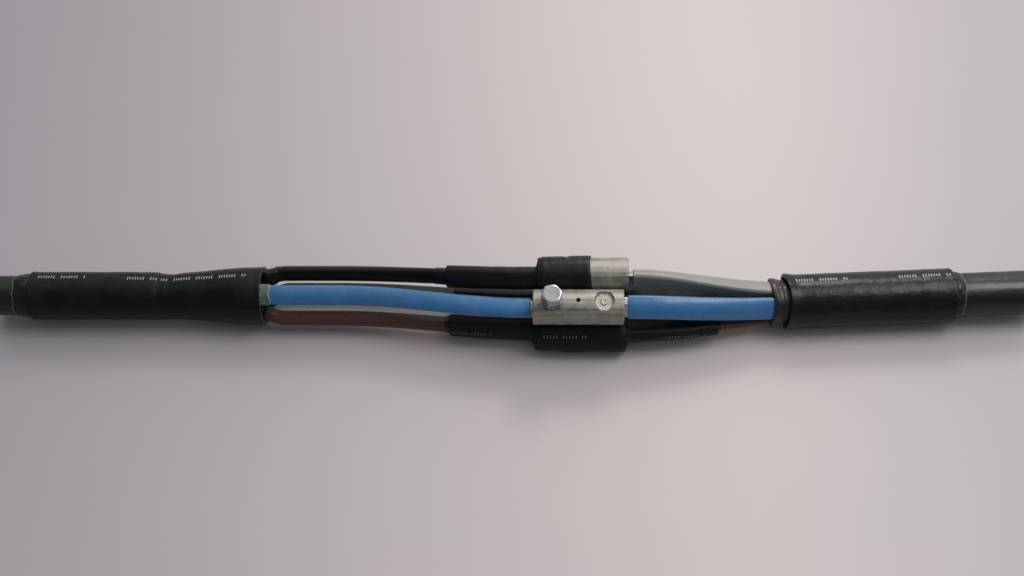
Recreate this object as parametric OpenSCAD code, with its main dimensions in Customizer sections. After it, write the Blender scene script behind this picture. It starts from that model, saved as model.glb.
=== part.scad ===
// Straight low-voltage cable joint, cut away as a display sample.
// Two four-core sector cables meet end to end. Each pair of cores is joined in a bolted
// aluminium connector. Heat-shrink sleeves cover the connectors, and thick tubes close the
// sheaths on both sides. X runs along the cable, Z is up, and the joint lies on Z = 0.

/* [Cable] */
// Outer radius of a left sector core, measured from the cable's centre
left_sector_r = 12.5; // [11.5:0.1:13]
// Radius of a left core's rounded corners
left_corner_r = 3.1; // [2.4:0.1:3.5]
// Outer radius of a right sector core, measured from the cable's centre
right_sector_r = 13.8; // [13:0.1:14.2]
// Radius of a right core's rounded corners
right_corner_r = 2.5; // [2.2:0.1:3.5]
// Wall of the core insulation
insulation_wall = 1.4; // [1:0.1:1.8]
// Thickness of the bedding over the cores
bedding_wall = 0.5; // [0.3:0.1:1.5]
// Wall of the left outer sheath
left_sheath_wall = 1.8; // [1.5:0.1:2.6]
// Wall of the right outer sheath
right_sheath_wall = 1.7; // [1.5:0.1:2.6]
// Depth taken off the sheath where a tube is shrunk on it
abrade_depth = 0.2; // [0.05:0.05:0.4]
// Length of the left cable stub past the adhesive ring
left_stub_len = 21; // [10:1:80]
// Length of the right cable stub past the adhesive ring
right_stub_len = 51; // [10:1:90]
// Length of sheath under the left tube
left_lap_len = 97; // [70:1:110]
// Length of sheath under the right tube
right_lap_len = 70; // [50:1:90]
// Sideways angle of the right cable
right_yaw = 2.9; // [0:0.1:4]

/* [Connectors] */
// Diameter of a connector body
conn_d = 25.3; // [24:0.1:28]
// Length of a connector body
conn_len = 65; // [60:1:75]
// Diameter of the bore that takes the conductors
bore_d = 14.5; // [14.5:0.1:15.2]
// Distance between the two bolts of a connector
bolt_pitch = 37; // [33:0.5:40]
// Diameter of a bolt's thread
bolt_d = 14; // [12:0.5:15]
// Depth of a sheared bolt below the connector's surface
bolt_sunk = 1.4; // [0.8:0.1:2.5]
// Width across the flats of the hexagon head
head_af = 13.5; // [11:0.5:14]
// Height of the hexagon head
head_h = 9; // [7:0.5:11]
// Height of the head's underside over the connector
head_lift = 2; // [2:0.5:5]
// Diameter of the sight hole
sight_d = 3.3; // [2.5:0.1:4.5]
// Width of the scribed centre line
scribe_w = 0.5; // [0.3:0.1:0.8]
// Radius of a connector's outer edges
conn_edge_r = 1.2; // [0.6:0.1:1.8]

/* [Sleeves] */
// Wall of a core sleeve over its connector
sleeve_wall_conn = 1.6; // [1.2:0.1:2.2]
// Wall of a core sleeve on its core
sleeve_wall_core = 2.2; // [1.6:0.1:2.8]
// Reach of a whole sleeve past its connector's middle, to each side
sleeve_reach = 96; // [80:1:105]
// Length of connector that the cut sleeve leaves bare
sleeve_bare_len = 27; // [20:1:40]
// Lean of the cut edge
sleeve_cut_lean = 1.2; // [0:0.1:3]
// Length of a sleeve's shoulder beside its connector
shoulder_len = 4.5; // [3.5:0.5:10]

/* [Tubes] */
// Length of the left outer tube
left_tube_len = 175; // [165:1:190]
// Wall of the left outer tube on the sheath
left_tube_wall = 3.5; // [2.4:0.1:4.2]
// Outer radius of the left tube at its flared mouth
mouth_r = 21.6; // [20.5:0.1:24]
// Wall of the left tube at its mouth
mouth_wall = 2.4; // [2:0.1:2.8]
// Length of the right outer tube
right_tube_len = 120; // [110:1:135]
// Wall of the right outer tube
right_tube_wall = 2.5; // [2:0.1:3.5]
// Wall of the inner collar
collar_wall = 1.7; // [1.4:0.1:2.5]
// Length of the collar in front of the outer tube
collar_show_len = 12; // [8:1:18]
// Length of the collar under the outer tube
collar_lap_len = 92; // [70:1:100]
// Widening of the collar at its mouth
collar_flare = 0.5; // [0:0.1:1]
// Rounding of the tubes' cut edges
tube_edge_r = 1; // [0.4:0.1:1.2]

/* [Adhesive] */
// Length of the adhesive ring at a tube's outer end
ring_len = 9; // [5:1:14]
// Height of that ring over the sheath
ring_h = 1.8; // [1:0.1:2.4]
// Length of the adhesive on a core in the left crotch
crotch_len = 9; // [5:1:14]
// Thickness of the adhesive on a core
glue_wall = 0.8; // [0.4:0.1:1.2]
// Length of adhesive squeezed out of a core sleeve
squeeze_len = 6; // [3:1:9]

/* [Lay] */
// Distance of the left tube's mouth from the middle of the front connector
left_mouth_x = 231; // [215:1:250]
// Distance of the right tube's near end from the middle of the front connector
right_tube_x = 151; // [140:1:165]
// Offset of the left cable's axis behind the front connector
left_axis_y = 24.2; // [18:0.1:26]
// Offset of the right cable's axis behind the front connector
right_axis_y = 20.5; // [16:0.1:24]
// Offset of the lower front connector in front of the upper one
lower_front_y = 3.3; // [0:0.1:9]
// Turn of the left cable's cores
left_turn = 34; // [20:1:45]
// Turn of the right cable's cores
right_turn = 60; // [40:1:70]
// Twist of the left cores on their way to the connectors
left_twist = -20; // [-30:1:10]
// Twist of the right cores on their way to the connectors
right_twist = -19; // [-30:1:10]
// Turn of the front connector's bolts
front_bolt_turn = 102; // [90:1:115]
// Turn of the upper back connector's bolts, which face away from the viewer
back_bolt_turn = 0; // [-20:1:30]
// Spread of each left core just outside the mouth
left_spread_out = [9.8, 7.5, 9.6, 7.5]; // [6:0.1:10]
// Swing of each left core round the cable, just outside the mouth
left_swing_out = [0, 0, 0, 3.3]; // [0:0.1:4]
// Spread of the right cores at the collar's mouth
right_spread = 0.9; // [0:0.1:1.2]
// Length that the left cores run straight on past the mouth
left_straight_len = 55; // [30:1:90]
// Depth inside the collar at which the right cores start to bend
right_bend_in = 22; // [4:1:30]
// Clearance between parts that lie on each other
seat_gap = 0.15; // [0.1:0.05:0.3]
// Clearance of a sleeve over its core
sleeve_gap = 0.4; // [0.35:0.05:0.6]
// Bare conductor between a core's insulation and its connector, for each core on the left
left_bare = [2, 1.2, 2, 2]; // [0.5:0.1:5]
// Bare conductor between a core's insulation and its connector, for each core on the right
right_bare = [3.6, 2.8, 2, 2]; // [0.5:0.1:5]
// Shift of each connector along the cable
conn_shift = [3.4, 0, 1.5, 4]; // [-6:0.1:6]

/* [Hidden] */

// Smoothness of round parts and of the outlines that are swept
$fn = 64;
fine_sides = 240;
sleeve_sides = 20;
edge_steps = 5;
flare_steps = 12;
crotch_steps = 3;
mouth_steps = 2;
bend_steps = 8;
// Sides of the joint
LEFT = 0;
RIGHT = 1;
// Places of the cores and connectors in the bundle
UPPER_BACK = 0;
FRONT = 1;
LOWER_FRONT = 2;
LOWER_BACK = 3;

// Radii that follow from the walls
conn_r = conn_d / 2;
sector_r = [left_sector_r, right_sector_r];
corner_r = [left_corner_r, right_corner_r];
bedding_r = [for (r = sector_r) r + bedding_wall];
sheath_r = [bedding_r[LEFT] + left_sheath_wall, bedding_r[RIGHT] + right_sheath_wall];
lap_r = [for (r = sheath_r) r - abrade_depth];
left_tube_r = lap_r[LEFT] + left_tube_wall;
collar_r = lap_r[RIGHT] + collar_wall;
right_tube_r = collar_r + right_tube_wall;
covered_r = conn_r + seat_gap + sleeve_wall_conn;

// Corner centres of each side's sector outline, with the cable's centre at the origin
corner_far = [for (s = [LEFT, RIGHT]) sqrt(pow(sector_r[s] - corner_r[s], 2) - pow(corner_r[s], 2))];
corner_turn = [for (s = [LEFT, RIGHT]) atan2(corner_r[s], corner_far[s])];
// Distance from the cable's centre to the middle of the circle round a conductor
sector_mid = [for (s = [LEFT, RIGHT]) (corner_far[s] + corner_r[s]) / sqrt(2)];
// Radius of that circle, and how far a conductor is pressed off the middle of its bore
conductor_r = [
    for (s = [LEFT, RIGHT]) (corner_far[s] - corner_r[s]) / sqrt(2) + corner_r[s] - insulation_wall
];
bore_gap = 0.1;
press_depth = [for (r = conductor_r) max(0, bore_d / 2 - r - bore_gap)];

// Heights and offsets of the bundle, each connector lying on those below it
front_to_lower = conn_r + covered_r + seat_gap;
cover_to_cover = 2 * covered_r + seat_gap;
front_z = covered_r + sqrt(pow(front_to_lower, 2) - pow(lower_front_y, 2));
lower_back_y = cover_to_cover - lower_front_y;
upper_back_yz = meet([0, front_z], front_to_lower, [lower_back_y, covered_r], cover_to_cover);
conn_y = [upper_back_yz[0], 0, -lower_front_y, lower_back_y];
conn_z = [upper_back_yz[1], front_z, covered_r, covered_r];
// Tapped holes, with the height of their side rims over the connector's axis
bolt_gap = 0.1;
hole_bevel = 0.5;
bolt_hole_d = bolt_d + 2 * bolt_gap;
hole_rim_z = sqrt(pow(conn_r, 2) - pow(bolt_hole_d / 2, 2));

// Places along the cable
left_sheath_x = -left_mouth_x - left_tube_len + left_lap_len;
left_ring_x = -left_mouth_x - left_tube_len;
left_end_x = left_ring_x - ring_len - left_stub_len;
collar_x = right_tube_x - collar_show_len;
axis_z = [mouth_r, right_tube_r];
left_bend_x = -left_mouth_x + left_straight_len;
right_bend_x = collar_x + right_bend_in;
bend_rest = 2;
spread_out_len = 14;

// Lengths along the right cable's own axis, from the near end of its outer tube
right_sheath_at = right_tube_len - right_lap_len;
right_end_at = right_tube_len + ring_len + right_stub_len;

// Spread of the left cores inside the mouth
left_spread = mouth_r - mouth_wall - seat_gap - left_sector_r;

// Middle of the whole part, which the origin lies under
right_far = right_point(right_end_at);
right_tube_far = right_point(right_tube_len);
mid_x = (left_end_x + right_far[0] + sheath_r[RIGHT] * sin(right_yaw)) / 2;
back_y = max(
    right_tube_far[1] + (right_tube_r - tube_edge_r) * cos(right_yaw),
    right_tube_far[1] + right_tube_r * cos(right_yaw) - tube_edge_r * sin(right_yaw),
    right_far[1] + sheath_r[RIGHT] * cos(right_yaw),
    left_axis_y + mouth_r,
    conn_y[UPPER_BACK] + covered_r
);
mid_y = (back_y - lower_front_y - covered_r) / 2;

function lerp(a, b, t) = a + (b - a) * t;
function ease(t) = let(u = min(1, max(0, t))) u * u * (3 - 2 * u);
function turn_to(a) = [cos(a), sin(a)];
function reversed(list) = [for (k = [len(list) - 1 : -1 : 0]) list[k]];

// Upper meeting point of two circles in the YZ plane, on the side away from the origin
function meet(a, ra, b, rb) =
    let(
        d = norm(b - a),
        along = (ra * ra - rb * rb + d * d) / (2 * d),
        off = sqrt(ra * ra - along * along),
        dir = (b - a) / d
    )
    a + along * dir + off * [-dir[1], dir[0]];

// Point on the right cable's axis, at a length from the near end of its outer tube
function right_point(at) = [
    right_tube_x + at * cos(right_yaw),
    right_axis_y + at * sin(right_yaw),
    right_tube_r
];

// Rounded sector, shrunk by a wall, with a chosen number of steps in each curve. The middle
// of its conductor is at the origin, and the middle of its arc points along the first axis.
function sector_outline(side, wall, corner_steps, arc_steps) =
    let(
        r = corner_r[side] - wall,
        c1 = [corner_far[side], corner_r[side]],
        c2 = [corner_r[side], corner_far[side]],
        apex = [corner_r[side], corner_r[side]],
        half = corner_turn[side],
        arc = 90 - 2 * half
    )
    [
        for (p = turned([
            for (i = [0 : corner_steps]) c1 + r * turn_to(-90 + (90 + half) * i / corner_steps),
            for (i = [1 : arc_steps - 1]) (sector_r[side] - wall) * turn_to(half + arc * i / arc_steps),
            for (i = [0 : corner_steps]) c2 + r * turn_to(90 - half + (90 + half) * i / corner_steps),
            for (i = [0 : corner_steps - 1]) apex + r * turn_to(180 + 90 * i / (corner_steps - 1))
        ], -45)) p - [sector_mid[side], 0]
    ];

function turned(points, a) = [
    for (p = points) [p[0] * cos(a) - p[1] * sin(a), p[0] * sin(a) + p[1] * cos(a)]
];

function core_outline(side, wall) = sector_outline(side, wall, 3, 3);

// Direction of a core's arc in its cable, and in its connector
function core_turn(side, i) = (side == LEFT ? left_turn : right_turn) + 90 * i;
function seat_turn(side, i) = core_turn(side, i) + (side == LEFT ? left_twist : right_twist);

// Direction of a connector's bolts. Hidden ones press between the middles of both cores.
function bolt_turn(i) =
    i == FRONT ? front_bolt_turn
    : i == UPPER_BACK ? back_bolt_turn
    : (seat_turn(LEFT, i) + seat_turn(RIGHT, i)) / 2;

// Middle of a conductor in its bore, where the bolts press it on the far side
function seat_yz(side, i) =
    [conn_y[i], conn_z[i]] - press_depth[side] * turn_to(bolt_turn(i));

function conn_face_x(side, i) = conn_shift[i] + (side == LEFT ? -1 : 1) * conn_len / 2;
function insulation_end_x(side, i) =
    conn_face_x(side, i) + (side == LEFT ? -left_bare[i] : right_bare[i]);

// Share of the way from the cable's lie to the connector's lie
function bend_share(side, i, x) =
    let(
        from = side == LEFT ? left_bend_x : right_bend_x,
        to = insulation_end_x(side, i) + (side == LEFT ? -bend_rest : bend_rest)
    )
    ease((x - from) / (to - from));

// Outward spread of a core at x, growing from the sheath's end to the mouth and beyond
function spread_at(side, i, x) =
    side == LEFT
    ? left_spread * ease((x - left_sheath_x) / (-left_mouth_x - left_sheath_x))
        + (left_spread_out[i] - left_spread) * ease((x + left_mouth_x) / spread_out_len)
    : let(sheath_x = right_point(right_sheath_at)[0])
        right_spread * ease((sheath_x - x) / (sheath_x - collar_x));

// Swing of a core round the cable at x, which a left core makes outside the mouth
function swing_at(side, i, x) =
    side == LEFT ? left_swing_out[i] * ease((x + left_mouth_x) / spread_out_len) : 0;

// Place and heading of a core's cross-section: x, y and z of its middle, yaw and turn
function core_place(side, i, x) =
    let(
        w = bend_share(side, i, x),
        cable_yaw = side == LEFT ? 0 : right_yaw,
        cable_y = side == LEFT ? left_axis_y : right_axis_y + (x - right_tube_x) * tan(right_yaw),
        out = (sector_mid[side] + spread_at(side, i, x)) * turn_to(core_turn(side, i))
            + swing_at(side, i, x) * turn_to(core_turn(side, i) + 90),
        in_cable = [x - out[0] * sin(cable_yaw), cable_y + out[0] * cos(cable_yaw), axis_z[side] + out[1]],
        in_conn = concat(x, seat_yz(side, i))
    )
    concat(
        lerp(in_cable, in_conn, w),
        cable_yaw * (1 - w),
        lerp(core_turn(side, i), seat_turn(side, i), w)
    );

function spaced(from, to, steps) = [for (k = [0 : steps - 1]) lerp(from, to, k / steps)];

// Where a core's cross-sections stand, from the cable's cut end to the end of its insulation
function core_stations(side, i) =
    side == LEFT
    ? concat(
        left_end_x,
        spaced(left_sheath_x, -left_mouth_x, crotch_steps),
        spaced(-left_mouth_x, -left_mouth_x + spread_out_len, mouth_steps),
        [-left_mouth_x + spread_out_len],
        spaced(left_bend_x, insulation_end_x(LEFT, i) - bend_rest, bend_steps),
        [insulation_end_x(LEFT, i) - bend_rest, insulation_end_x(LEFT, i)])
    : concat(
        right_far[0],
        spaced(right_point(right_sheath_at)[0], right_bend_x, crotch_steps),
        spaced(right_bend_x, insulation_end_x(RIGHT, i) + bend_rest, bend_steps),
        [insulation_end_x(RIGHT, i) + bend_rest, insulation_end_x(RIGHT, i)]);

// Places of a core's cross-sections, and the same read off between them
function core_table(side, i) =
    [for (x = core_stations(side, i)) [x, core_place(side, i, x)]];
function read_off(table, x) =
    [for (k = [0 : 4]) lookup(x, [for (row = table) [row[0], row[1][k]]])];

// Ring of points of an outline at a place
function ring_at(place, outline) = [
    for (p = turned(outline, place[4])) [
        place[0] - p[0] * sin(place[3]),
        place[1] + p[0] * cos(place[3]),
        place[2] + p[1]
    ]
];

// Ring on the straight faces that a core's loft has between two of its cross-sections
function ring_between(table, x, outline) =
    let(
        k = max([for (j = [0 : len(table) - 2]) if ((table[j][0] - x) * (table[j + 1][0] - x) <= 0) j]),
        t = (x - table[k][0]) / (table[k + 1][0] - table[k][0])
    )
    lerp(ring_at(table[k][1], outline), ring_at(table[k + 1][1], outline), t);

// Distance from the middle of a conductor to the core's surface, grown by a margin
function reach_at(edges, a, grow) =
    min([for (e = edges) let(c = cos(a - e[1])) if (c > 0.05) (e[0] + grow) / c]);

// Edges of a core's fine outline as distance and direction from the conductor's middle
function core_edges(side) =
    let(
        pts = sector_outline(side, 0, 6, 6),
        n = len(pts)
    )
    [
        for (k = [0 : n - 1])
            let(
                p = pts[k],
                step = pts[(k + 1) % n] - p,
                across = [step[1], -step[0]] / norm(step)
            )
            [p * across, atan2(across[1], across[0])]
    ];

// Solid between rings of equal length, closed at both ends
module loft(rings) {
    n = len(rings[0]);
    last = len(rings) - 1;
    sides = [
        for (i = [0 : last - 1], j = [0 : n - 1])
            let(a = i * n + j, b = i * n + (j + 1) % n)
            each [[a, b, b + n], [a, b + n, a + n]]
    ];
    start = [reversed([for (j = [0 : n - 1]) j])];
    end = [[for (j = [0 : n - 1]) last * n + j]];
    polyhedron(points = [for (r = rings) each r], faces = facing(rings, concat(sides, start, end)));
}

// Wall between two lofts with the same stations, open at both ends
module shell_loft(outer, inner) {
    n = len(outer[0]);
    last = len(outer) - 1;
    base = len(outer) * n;
    walls = [
        for (i = [0 : last - 1], j = [0 : n - 1])
            let(a = i * n + j, b = i * n + (j + 1) % n, c = a + base, d = b + base)
            each [[a, b, b + n], [a, b + n, a + n], [c, d + n, d], [c, c + n, d + n]]
    ];
    rims = [
        for (j = [0 : n - 1])
            let(k = (j + 1) % n, e = last * n)
            each [[k, j, base + j], [k, base + j, base + k],
                [e + j, e + k, base + e + k], [e + j, base + e + k, base + e + j]]
    ];
    points = [for (r = concat(outer, inner)) each r];
    polyhedron(points = points, faces = facing(outer, concat(walls, rims)));
}

// Faces turned so that they look outwards whichever way the rings run along X
function facing(rings, faces) =
    rings[1][0][0] > rings[0][0][0] ? [for (f = faces) reversed(f)] : faces;

// Places a child on the right cable's axis, its +Z along the cable
module on_right_axis() {
    translate([right_tube_x, right_axis_y, right_tube_r])
        rotate([0, 90, right_yaw])
            children();
}

// Places a child on the left cable's axis at its outer end, its +Z towards the joint
module on_left_axis(x) {
    translate([x, left_axis_y, mouth_r])
        rotate([0, 90, 0])
            children();
}

// Ring round the Z axis from an outer and an inner list of [z, r] pairs
module turned_shell(outer, inner) {
    rotate_extrude()
        polygon([for (p = concat(outer, reversed(inner))) [p[1], p[0]]]);
}

// Rounded outer edge as [z, r] pairs: a quarter circle that ends a wall at z
function round_edge(z, r, edge, sign) = [
    for (k = [0 : edge_steps])
        let(a = sign > 0 ? 90 - 90 * k / edge_steps : 90 * k / edge_steps)
        [z - sign * edge * (1 - cos(a)), r - edge * (1 - sin(a))]
];

// Outer sheath of a cable: an exposed stub, then the abraded length under ring and tube
module sheath(side, stub_len, lap_len) {
    color("#23252a")
        difference() {
            union() {
                cylinder(h = stub_len, r = sheath_r[side]);
                translate([0, 0, stub_len])
                    cylinder(h = ring_len + lap_len, r = lap_r[side]);
            }
            translate([0, 0, -1])
                cylinder(h = stub_len + ring_len + lap_len + 2, r = bedding_r[side], $fn = fine_sides);
        }
}

// Bedding between the cores and the sheath, with the sectors' own outlines cut out of it
module bedding(side, length) {
    clear_r = corner_r[side] * 1.1;
    color("#3a3a3c")
        linear_extrude(height = length)
            difference() {
                circle(r = bedding_r[side], $fn = fine_sides);
                for (i = [0 : 3])
                    rotate(core_turn(side, i))
                        translate([sector_mid[side], 0])
                            polygon(core_outline(side, 0));
                circle(r = clear_r);
            }
}

// Turns a drawing of the YZ plane so that an extrusion along Z runs along X
module yz_to_axis() {
    rotate([90, 0, 90])
        children();
}

module sheath_left() {
    on_left_axis(left_end_x)
        sheath(LEFT, left_stub_len, left_lap_len);
}

module sheath_right() {
    on_right_axis()
        translate([0, 0, right_end_at])
            mirror([0, 0, 1])
                sheath(RIGHT, right_stub_len, right_lap_len);
}

module bedding_left() {
    translate([left_end_x, left_axis_y, mouth_r])
        yz_to_axis()
            bedding(LEFT, left_stub_len + ring_len + left_lap_len);
}

module bedding_right() {
    start = right_point(right_sheath_at);
    translate(start)
        rotate([0, 0, right_yaw])
            yz_to_axis()
                bedding(RIGHT, right_lap_len + ring_len + right_stub_len);
}

// Insulation of one core, from the cable's cut end to where it is stripped
module core(side, i, tint) {
    places = [for (row = core_table(side, i)) row[1]];
    outer = core_outline(side, 0);
    inner = core_outline(side, insulation_wall);
    color(tint)
        shell_loft([for (p = places) ring_at(p, outer)], [for (p = places) ring_at(p, inner)]);
}

// Conductor of one core, from the cable's cut end to the middle of its connector
module conductor(side, i) {
    stop_x = conn_shift[i] + (side == LEFT ? -1 : 1) * sight_d / 4;
    last = concat(stop_x, seat_yz(side, i), 0, seat_turn(side, i));
    places = concat([for (row = core_table(side, i)) row[1]], [last]);
    outline = core_outline(side, insulation_wall);
    color("#c9ccd0")
        loft([for (p = places) ring_at(p, outline)]);
}

// Moves a child to a connector's middle, its +Z along the bolts and its +X along the cable
module at_connector(i) {
    translate([conn_shift[i], conn_y[i], conn_z[i]])
        rotate([bolt_turn(i) - 90, 0, 0])
            children();
}

// Connector body with its bore, two tapped holes, sight hole and scribed line
module connector(i) {
    edge = [
        for (k = [0 : edge_steps])
            let(a = 90 * k / edge_steps)
            [conn_r - conn_edge_r * (1 - cos(a)), conn_len / 2 - conn_edge_r * (1 - sin(a))]
    ];
    mirrored = [for (k = [edge_steps : -1 : 0]) [edge[k][0], -edge[k][1]]];
    scribe_depth = 0.35;
    mouth_bevel = 0.8;
    color("#b9bcbd")
        at_connector(i)
            difference() {
                rotate([0, 90, 0])
                    rotate_extrude()
                        polygon(concat([[0, -conn_len / 2]], mirrored, edge, [[0, conn_len / 2]]));
                rotate([0, 90, 0])
                    cylinder(h = conn_len + 2, d = bore_d, center = true);
                for (s = [-1, 1]) {
                    translate([s * bolt_pitch / 2, 0, 0])
                        cylinder(h = conn_r + 1, d = bolt_hole_d);
                    translate([s * bolt_pitch / 2, 0, hole_rim_z - hole_bevel])
                        cylinder(h = hole_bevel * 3, d1 = bolt_hole_d, d2 = bolt_hole_d + hole_bevel * 6);
                    translate([s * (conn_len / 2 - mouth_bevel / 2), 0, 0])
                        rotate([0, s * 90, 0])
                            cylinder(h = mouth_bevel, d1 = bore_d, d2 = bore_d + 2 * mouth_bevel, center = true);
                }
                cylinder(h = conn_r + 1, d = sight_d);
                translate([0, 0, conn_r])
                    cube([conn_len + 2, scribe_w, 2 * scribe_depth], center = true);
            }
}

// Height of a bolt's flat tip over the connector's axis, just clear of the conductor
function tip_z(side, i) =
    let(
        off = abs(bolt_turn(i) - seat_turn(side, i)),
        half_arc = 45 - corner_turn[side],
        back = -sector_mid[side] * cos(off) - press_depth[side],
        reach = off <= half_arc
            ? sector_r[side] - insulation_wall
            : (sector_r[side] - corner_r[side]) * cos(off - half_arc) + corner_r[side] - insulation_wall
    )
    back + reach + seat_gap;

// Sheared bolt: a plug with a dished break and the stub of its neck
module sheared_bolt(side, i) {
    low = tip_z(side, i);
    top = hole_rim_z - bolt_sunk + hole_bevel;
    dish = 0.4;
    stub_r = bolt_d / 7;
    at_connector(i)
        translate([(side == LEFT ? -1 : 1) * bolt_pitch / 2, 0, 0])
            rotate_extrude()
                polygon([
                    [0, low], [bolt_d / 2 - dish, low], [bolt_d / 2, low + dish], [bolt_d / 2, top - dish],
                    [bolt_d / 2 - dish, top], [bolt_d / 2 - 2 * dish, top - dish], [stub_r, top - dish],
                    [stub_r * 0.7, top + dish / 2], [0, top + dish / 2]
                ]);
}

// Whole bolt: threaded shank, shear groove and a bevelled hexagon head
module bolt_front_whole() {
    low = tip_z(LEFT, FRONT);
    under = conn_r + head_lift;
    neck_r = bolt_d * 0.36;
    neck_h = 0.8;
    tip_bevel = 0.5;
    head_bevel = 0.9;
    head_corner_r = head_af / 2 / cos(30);
    color("#c4c5c8")
        at_connector(FRONT)
            translate([-bolt_pitch / 2, 0, 0]) {
                rotate_extrude()
                    polygon([
                        [0, low], [bolt_d / 2 - tip_bevel, low], [bolt_d / 2, low + tip_bevel],
                        [bolt_d / 2, under - neck_h], [neck_r, under - neck_h], [neck_r, under + neck_h],
                        [0, under + neck_h]
                    ]);
                translate([0, 0, under])
                    intersection() {
                        rotate([0, 0, 12])
                            cylinder(h = head_h, r = head_corner_r, $fn = 6);
                        cylinder(h = head_h, r1 = head_corner_r + head_h - head_bevel,
                            r2 = head_corner_r - head_bevel);
                    }
            }
}

module bolt_front_sheared() {
    color("#c4c5c8")
        sheared_bolt(RIGHT, FRONT);
}

module bolt_pair(i) {
    color("#c4c5c8") {
        sheared_bolt(LEFT, i);
        sheared_bolt(RIGHT, i);
    }
}

// Ring of a sleeve at x: the core's outline, a circle round the connector, or between them
function sleeve_ring(side, i, x, wall_core, wall_conn, lean) =
    let(
        place = read_off(core_table(side, i), x),
        face = conn_face_x(side, i),
        out = side == LEFT ? face - x : x - face,
        b = 1 - ease(out / shoulder_len),
        conn_ring_r = wall_conn > 0 ? covered_r : (conn_r + seat_gap) / cos(180 / sleeve_sides),
        edges = core_edges(side),
        on_core = ring_at(place, [
            for (k = [0 : sleeve_sides - 1])
                let(a = 90 + 360 * k / sleeve_sides - place[4])
                reach_at(edges, a, sleeve_gap + wall_core) * turn_to(a)
        ])
    )
    [
        for (k = [0 : sleeve_sides - 1])
            let(
                a = 90 + 360 * k / sleeve_sides,
                on_conn = [
                    x,
                    conn_y[i] + conn_ring_r * cos(a),
                    conn_z[i] + conn_ring_r * sin(a)
                ]
            )
            lerp(on_core[k], on_conn, b) + [lean * cos(a - 120), 0, 0]
    ];

// Stations of a sleeve on one side, from its end to the connector's face
function sleeve_stations(side, i) =
    let(
        s = side == LEFT ? -1 : 1,
        end_x = conn_shift[i] + s * sleeve_reach,
        face = conn_face_x(side, i),
        shoulder = [1, 0.75, 0.5, 0.25, 0.05]
    )
    concat(
        end_x,
        [for (x = core_stations(side, i)) if (s * x < s * end_x - 3 && s * x > s * face + shoulder_len + 1) x],
        [for (t = shoulder) face + s * t * shoulder_len],
        face
    );

// Core sleeve over both sides of its connector
module whole_sleeve(i) {
    marks = concat(
        [for (x = sleeve_stations(LEFT, i)) [LEFT, x]],
        [for (x = reversed(sleeve_stations(RIGHT, i))) [RIGHT, x]]
    );
    color("#1b1b1d")
        shell_loft(
            [for (m = marks) sleeve_ring(m[0], i, m[1], sleeve_wall_core, sleeve_wall_conn, 0)],
            [for (m = marks) sleeve_ring(m[0], i, m[1], 0, 0, 0)]
        );
}

// Core sleeve that is cut away over the right part of its connector
module sleeve_upper_back() {
    i = UPPER_BACK;
    cut_x = conn_face_x(RIGHT, i) - sleeve_bare_len;
    marks = concat(sleeve_stations(LEFT, i), [cut_x]);
    color("#1b1b1d")
        shell_loft(
            [for (x = marks) sleeve_ring(LEFT, i, x, sleeve_wall_core, sleeve_wall_conn, lean_at(x, cut_x))],
            [for (x = marks) sleeve_ring(LEFT, i, x, 0, 0, lean_at(x, cut_x))]
        );
}

function lean_at(x, cut_x) = x == cut_x ? -sleeve_cut_lean : 0;

// Outer radius of the left tube at a length from its mouth
function left_tube_r_at(x) =
    let(
        neck_x = left_sheath_x + 8,
        neck_r = left_tube_r - 0.5
    )
    x < neck_x
    ? lerp(left_tube_r, neck_r, ease((x - neck_x + 14) / 14))
    : lerp(neck_r, mouth_r, ease((x - neck_x) / (-left_mouth_x - 4 - neck_x)));

module outer_tube_left() {
    outer_x = concat(
        spaced(left_sheath_x - 6, left_sheath_x + 8, 4),
        spaced(left_sheath_x + 8, -left_mouth_x - tube_edge_r - 1, flare_steps),
        [-left_mouth_x - tube_edge_r]
    );
    outer = concat(
        round_edge(left_ring_x, left_tube_r, tube_edge_r, -1),
        [for (x = outer_x) [x, left_tube_r_at(x)]],
        round_edge(-left_mouth_x, mouth_r, tube_edge_r, 1)
    );
    inner_x = concat(spaced(left_sheath_x + 8, -left_mouth_x, flare_steps), [-left_mouth_x]);
    inner = concat(
        [[left_ring_x, lap_r[LEFT]], [left_sheath_x, lap_r[LEFT]]],
        [for (x = inner_x) [x, left_tube_r_at(x) - mouth_wall]]
    );
    color("#202124")
        on_left_axis(0)
            turned_shell(outer, inner);
}

module outer_tube_right() {
    step_end = collar_lap_len + 5;
    outer = concat(
        round_edge(0, right_tube_r, tube_edge_r, -1),
        round_edge(right_tube_len, right_tube_r, tube_edge_r, 1)
    );
    inner = [
        [0, collar_r], [collar_lap_len, collar_r],
        [step_end, lap_r[RIGHT]], [right_tube_len, lap_r[RIGHT]]
    ];
    color("#202124")
        on_right_axis()
            turned_shell(outer, inner);
}

module inner_collar_right() {
    flare_len = 10;
    lip_r = collar_r + collar_flare;
    outer = concat(
        round_edge(-collar_show_len, lip_r, min(tube_edge_r, collar_wall / 2), -1),
        [for (k = [2 : 5]) [-collar_show_len + k / 5 * flare_len, lerp(lip_r, collar_r, ease(k / 5))]],
        [[collar_lap_len, collar_r]]
    );
    inner = concat(
        [for (k = [0 : 5]) [-collar_show_len + k / 5 * flare_len, collar_in_r(k / 5)]],
        [[right_sheath_at - 6, collar_in_r(1)], [right_sheath_at, lap_r[RIGHT]]],
        [[collar_lap_len, lap_r[RIGHT]]]
    );
    color("#2a2724")
        on_right_axis()
            turned_shell(outer, inner);
}

// Inner radius of the collar over the cores, widest at its mouth
function collar_in_r(t) = lap_r[RIGHT] + collar_flare * (1 - ease(t));

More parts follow.
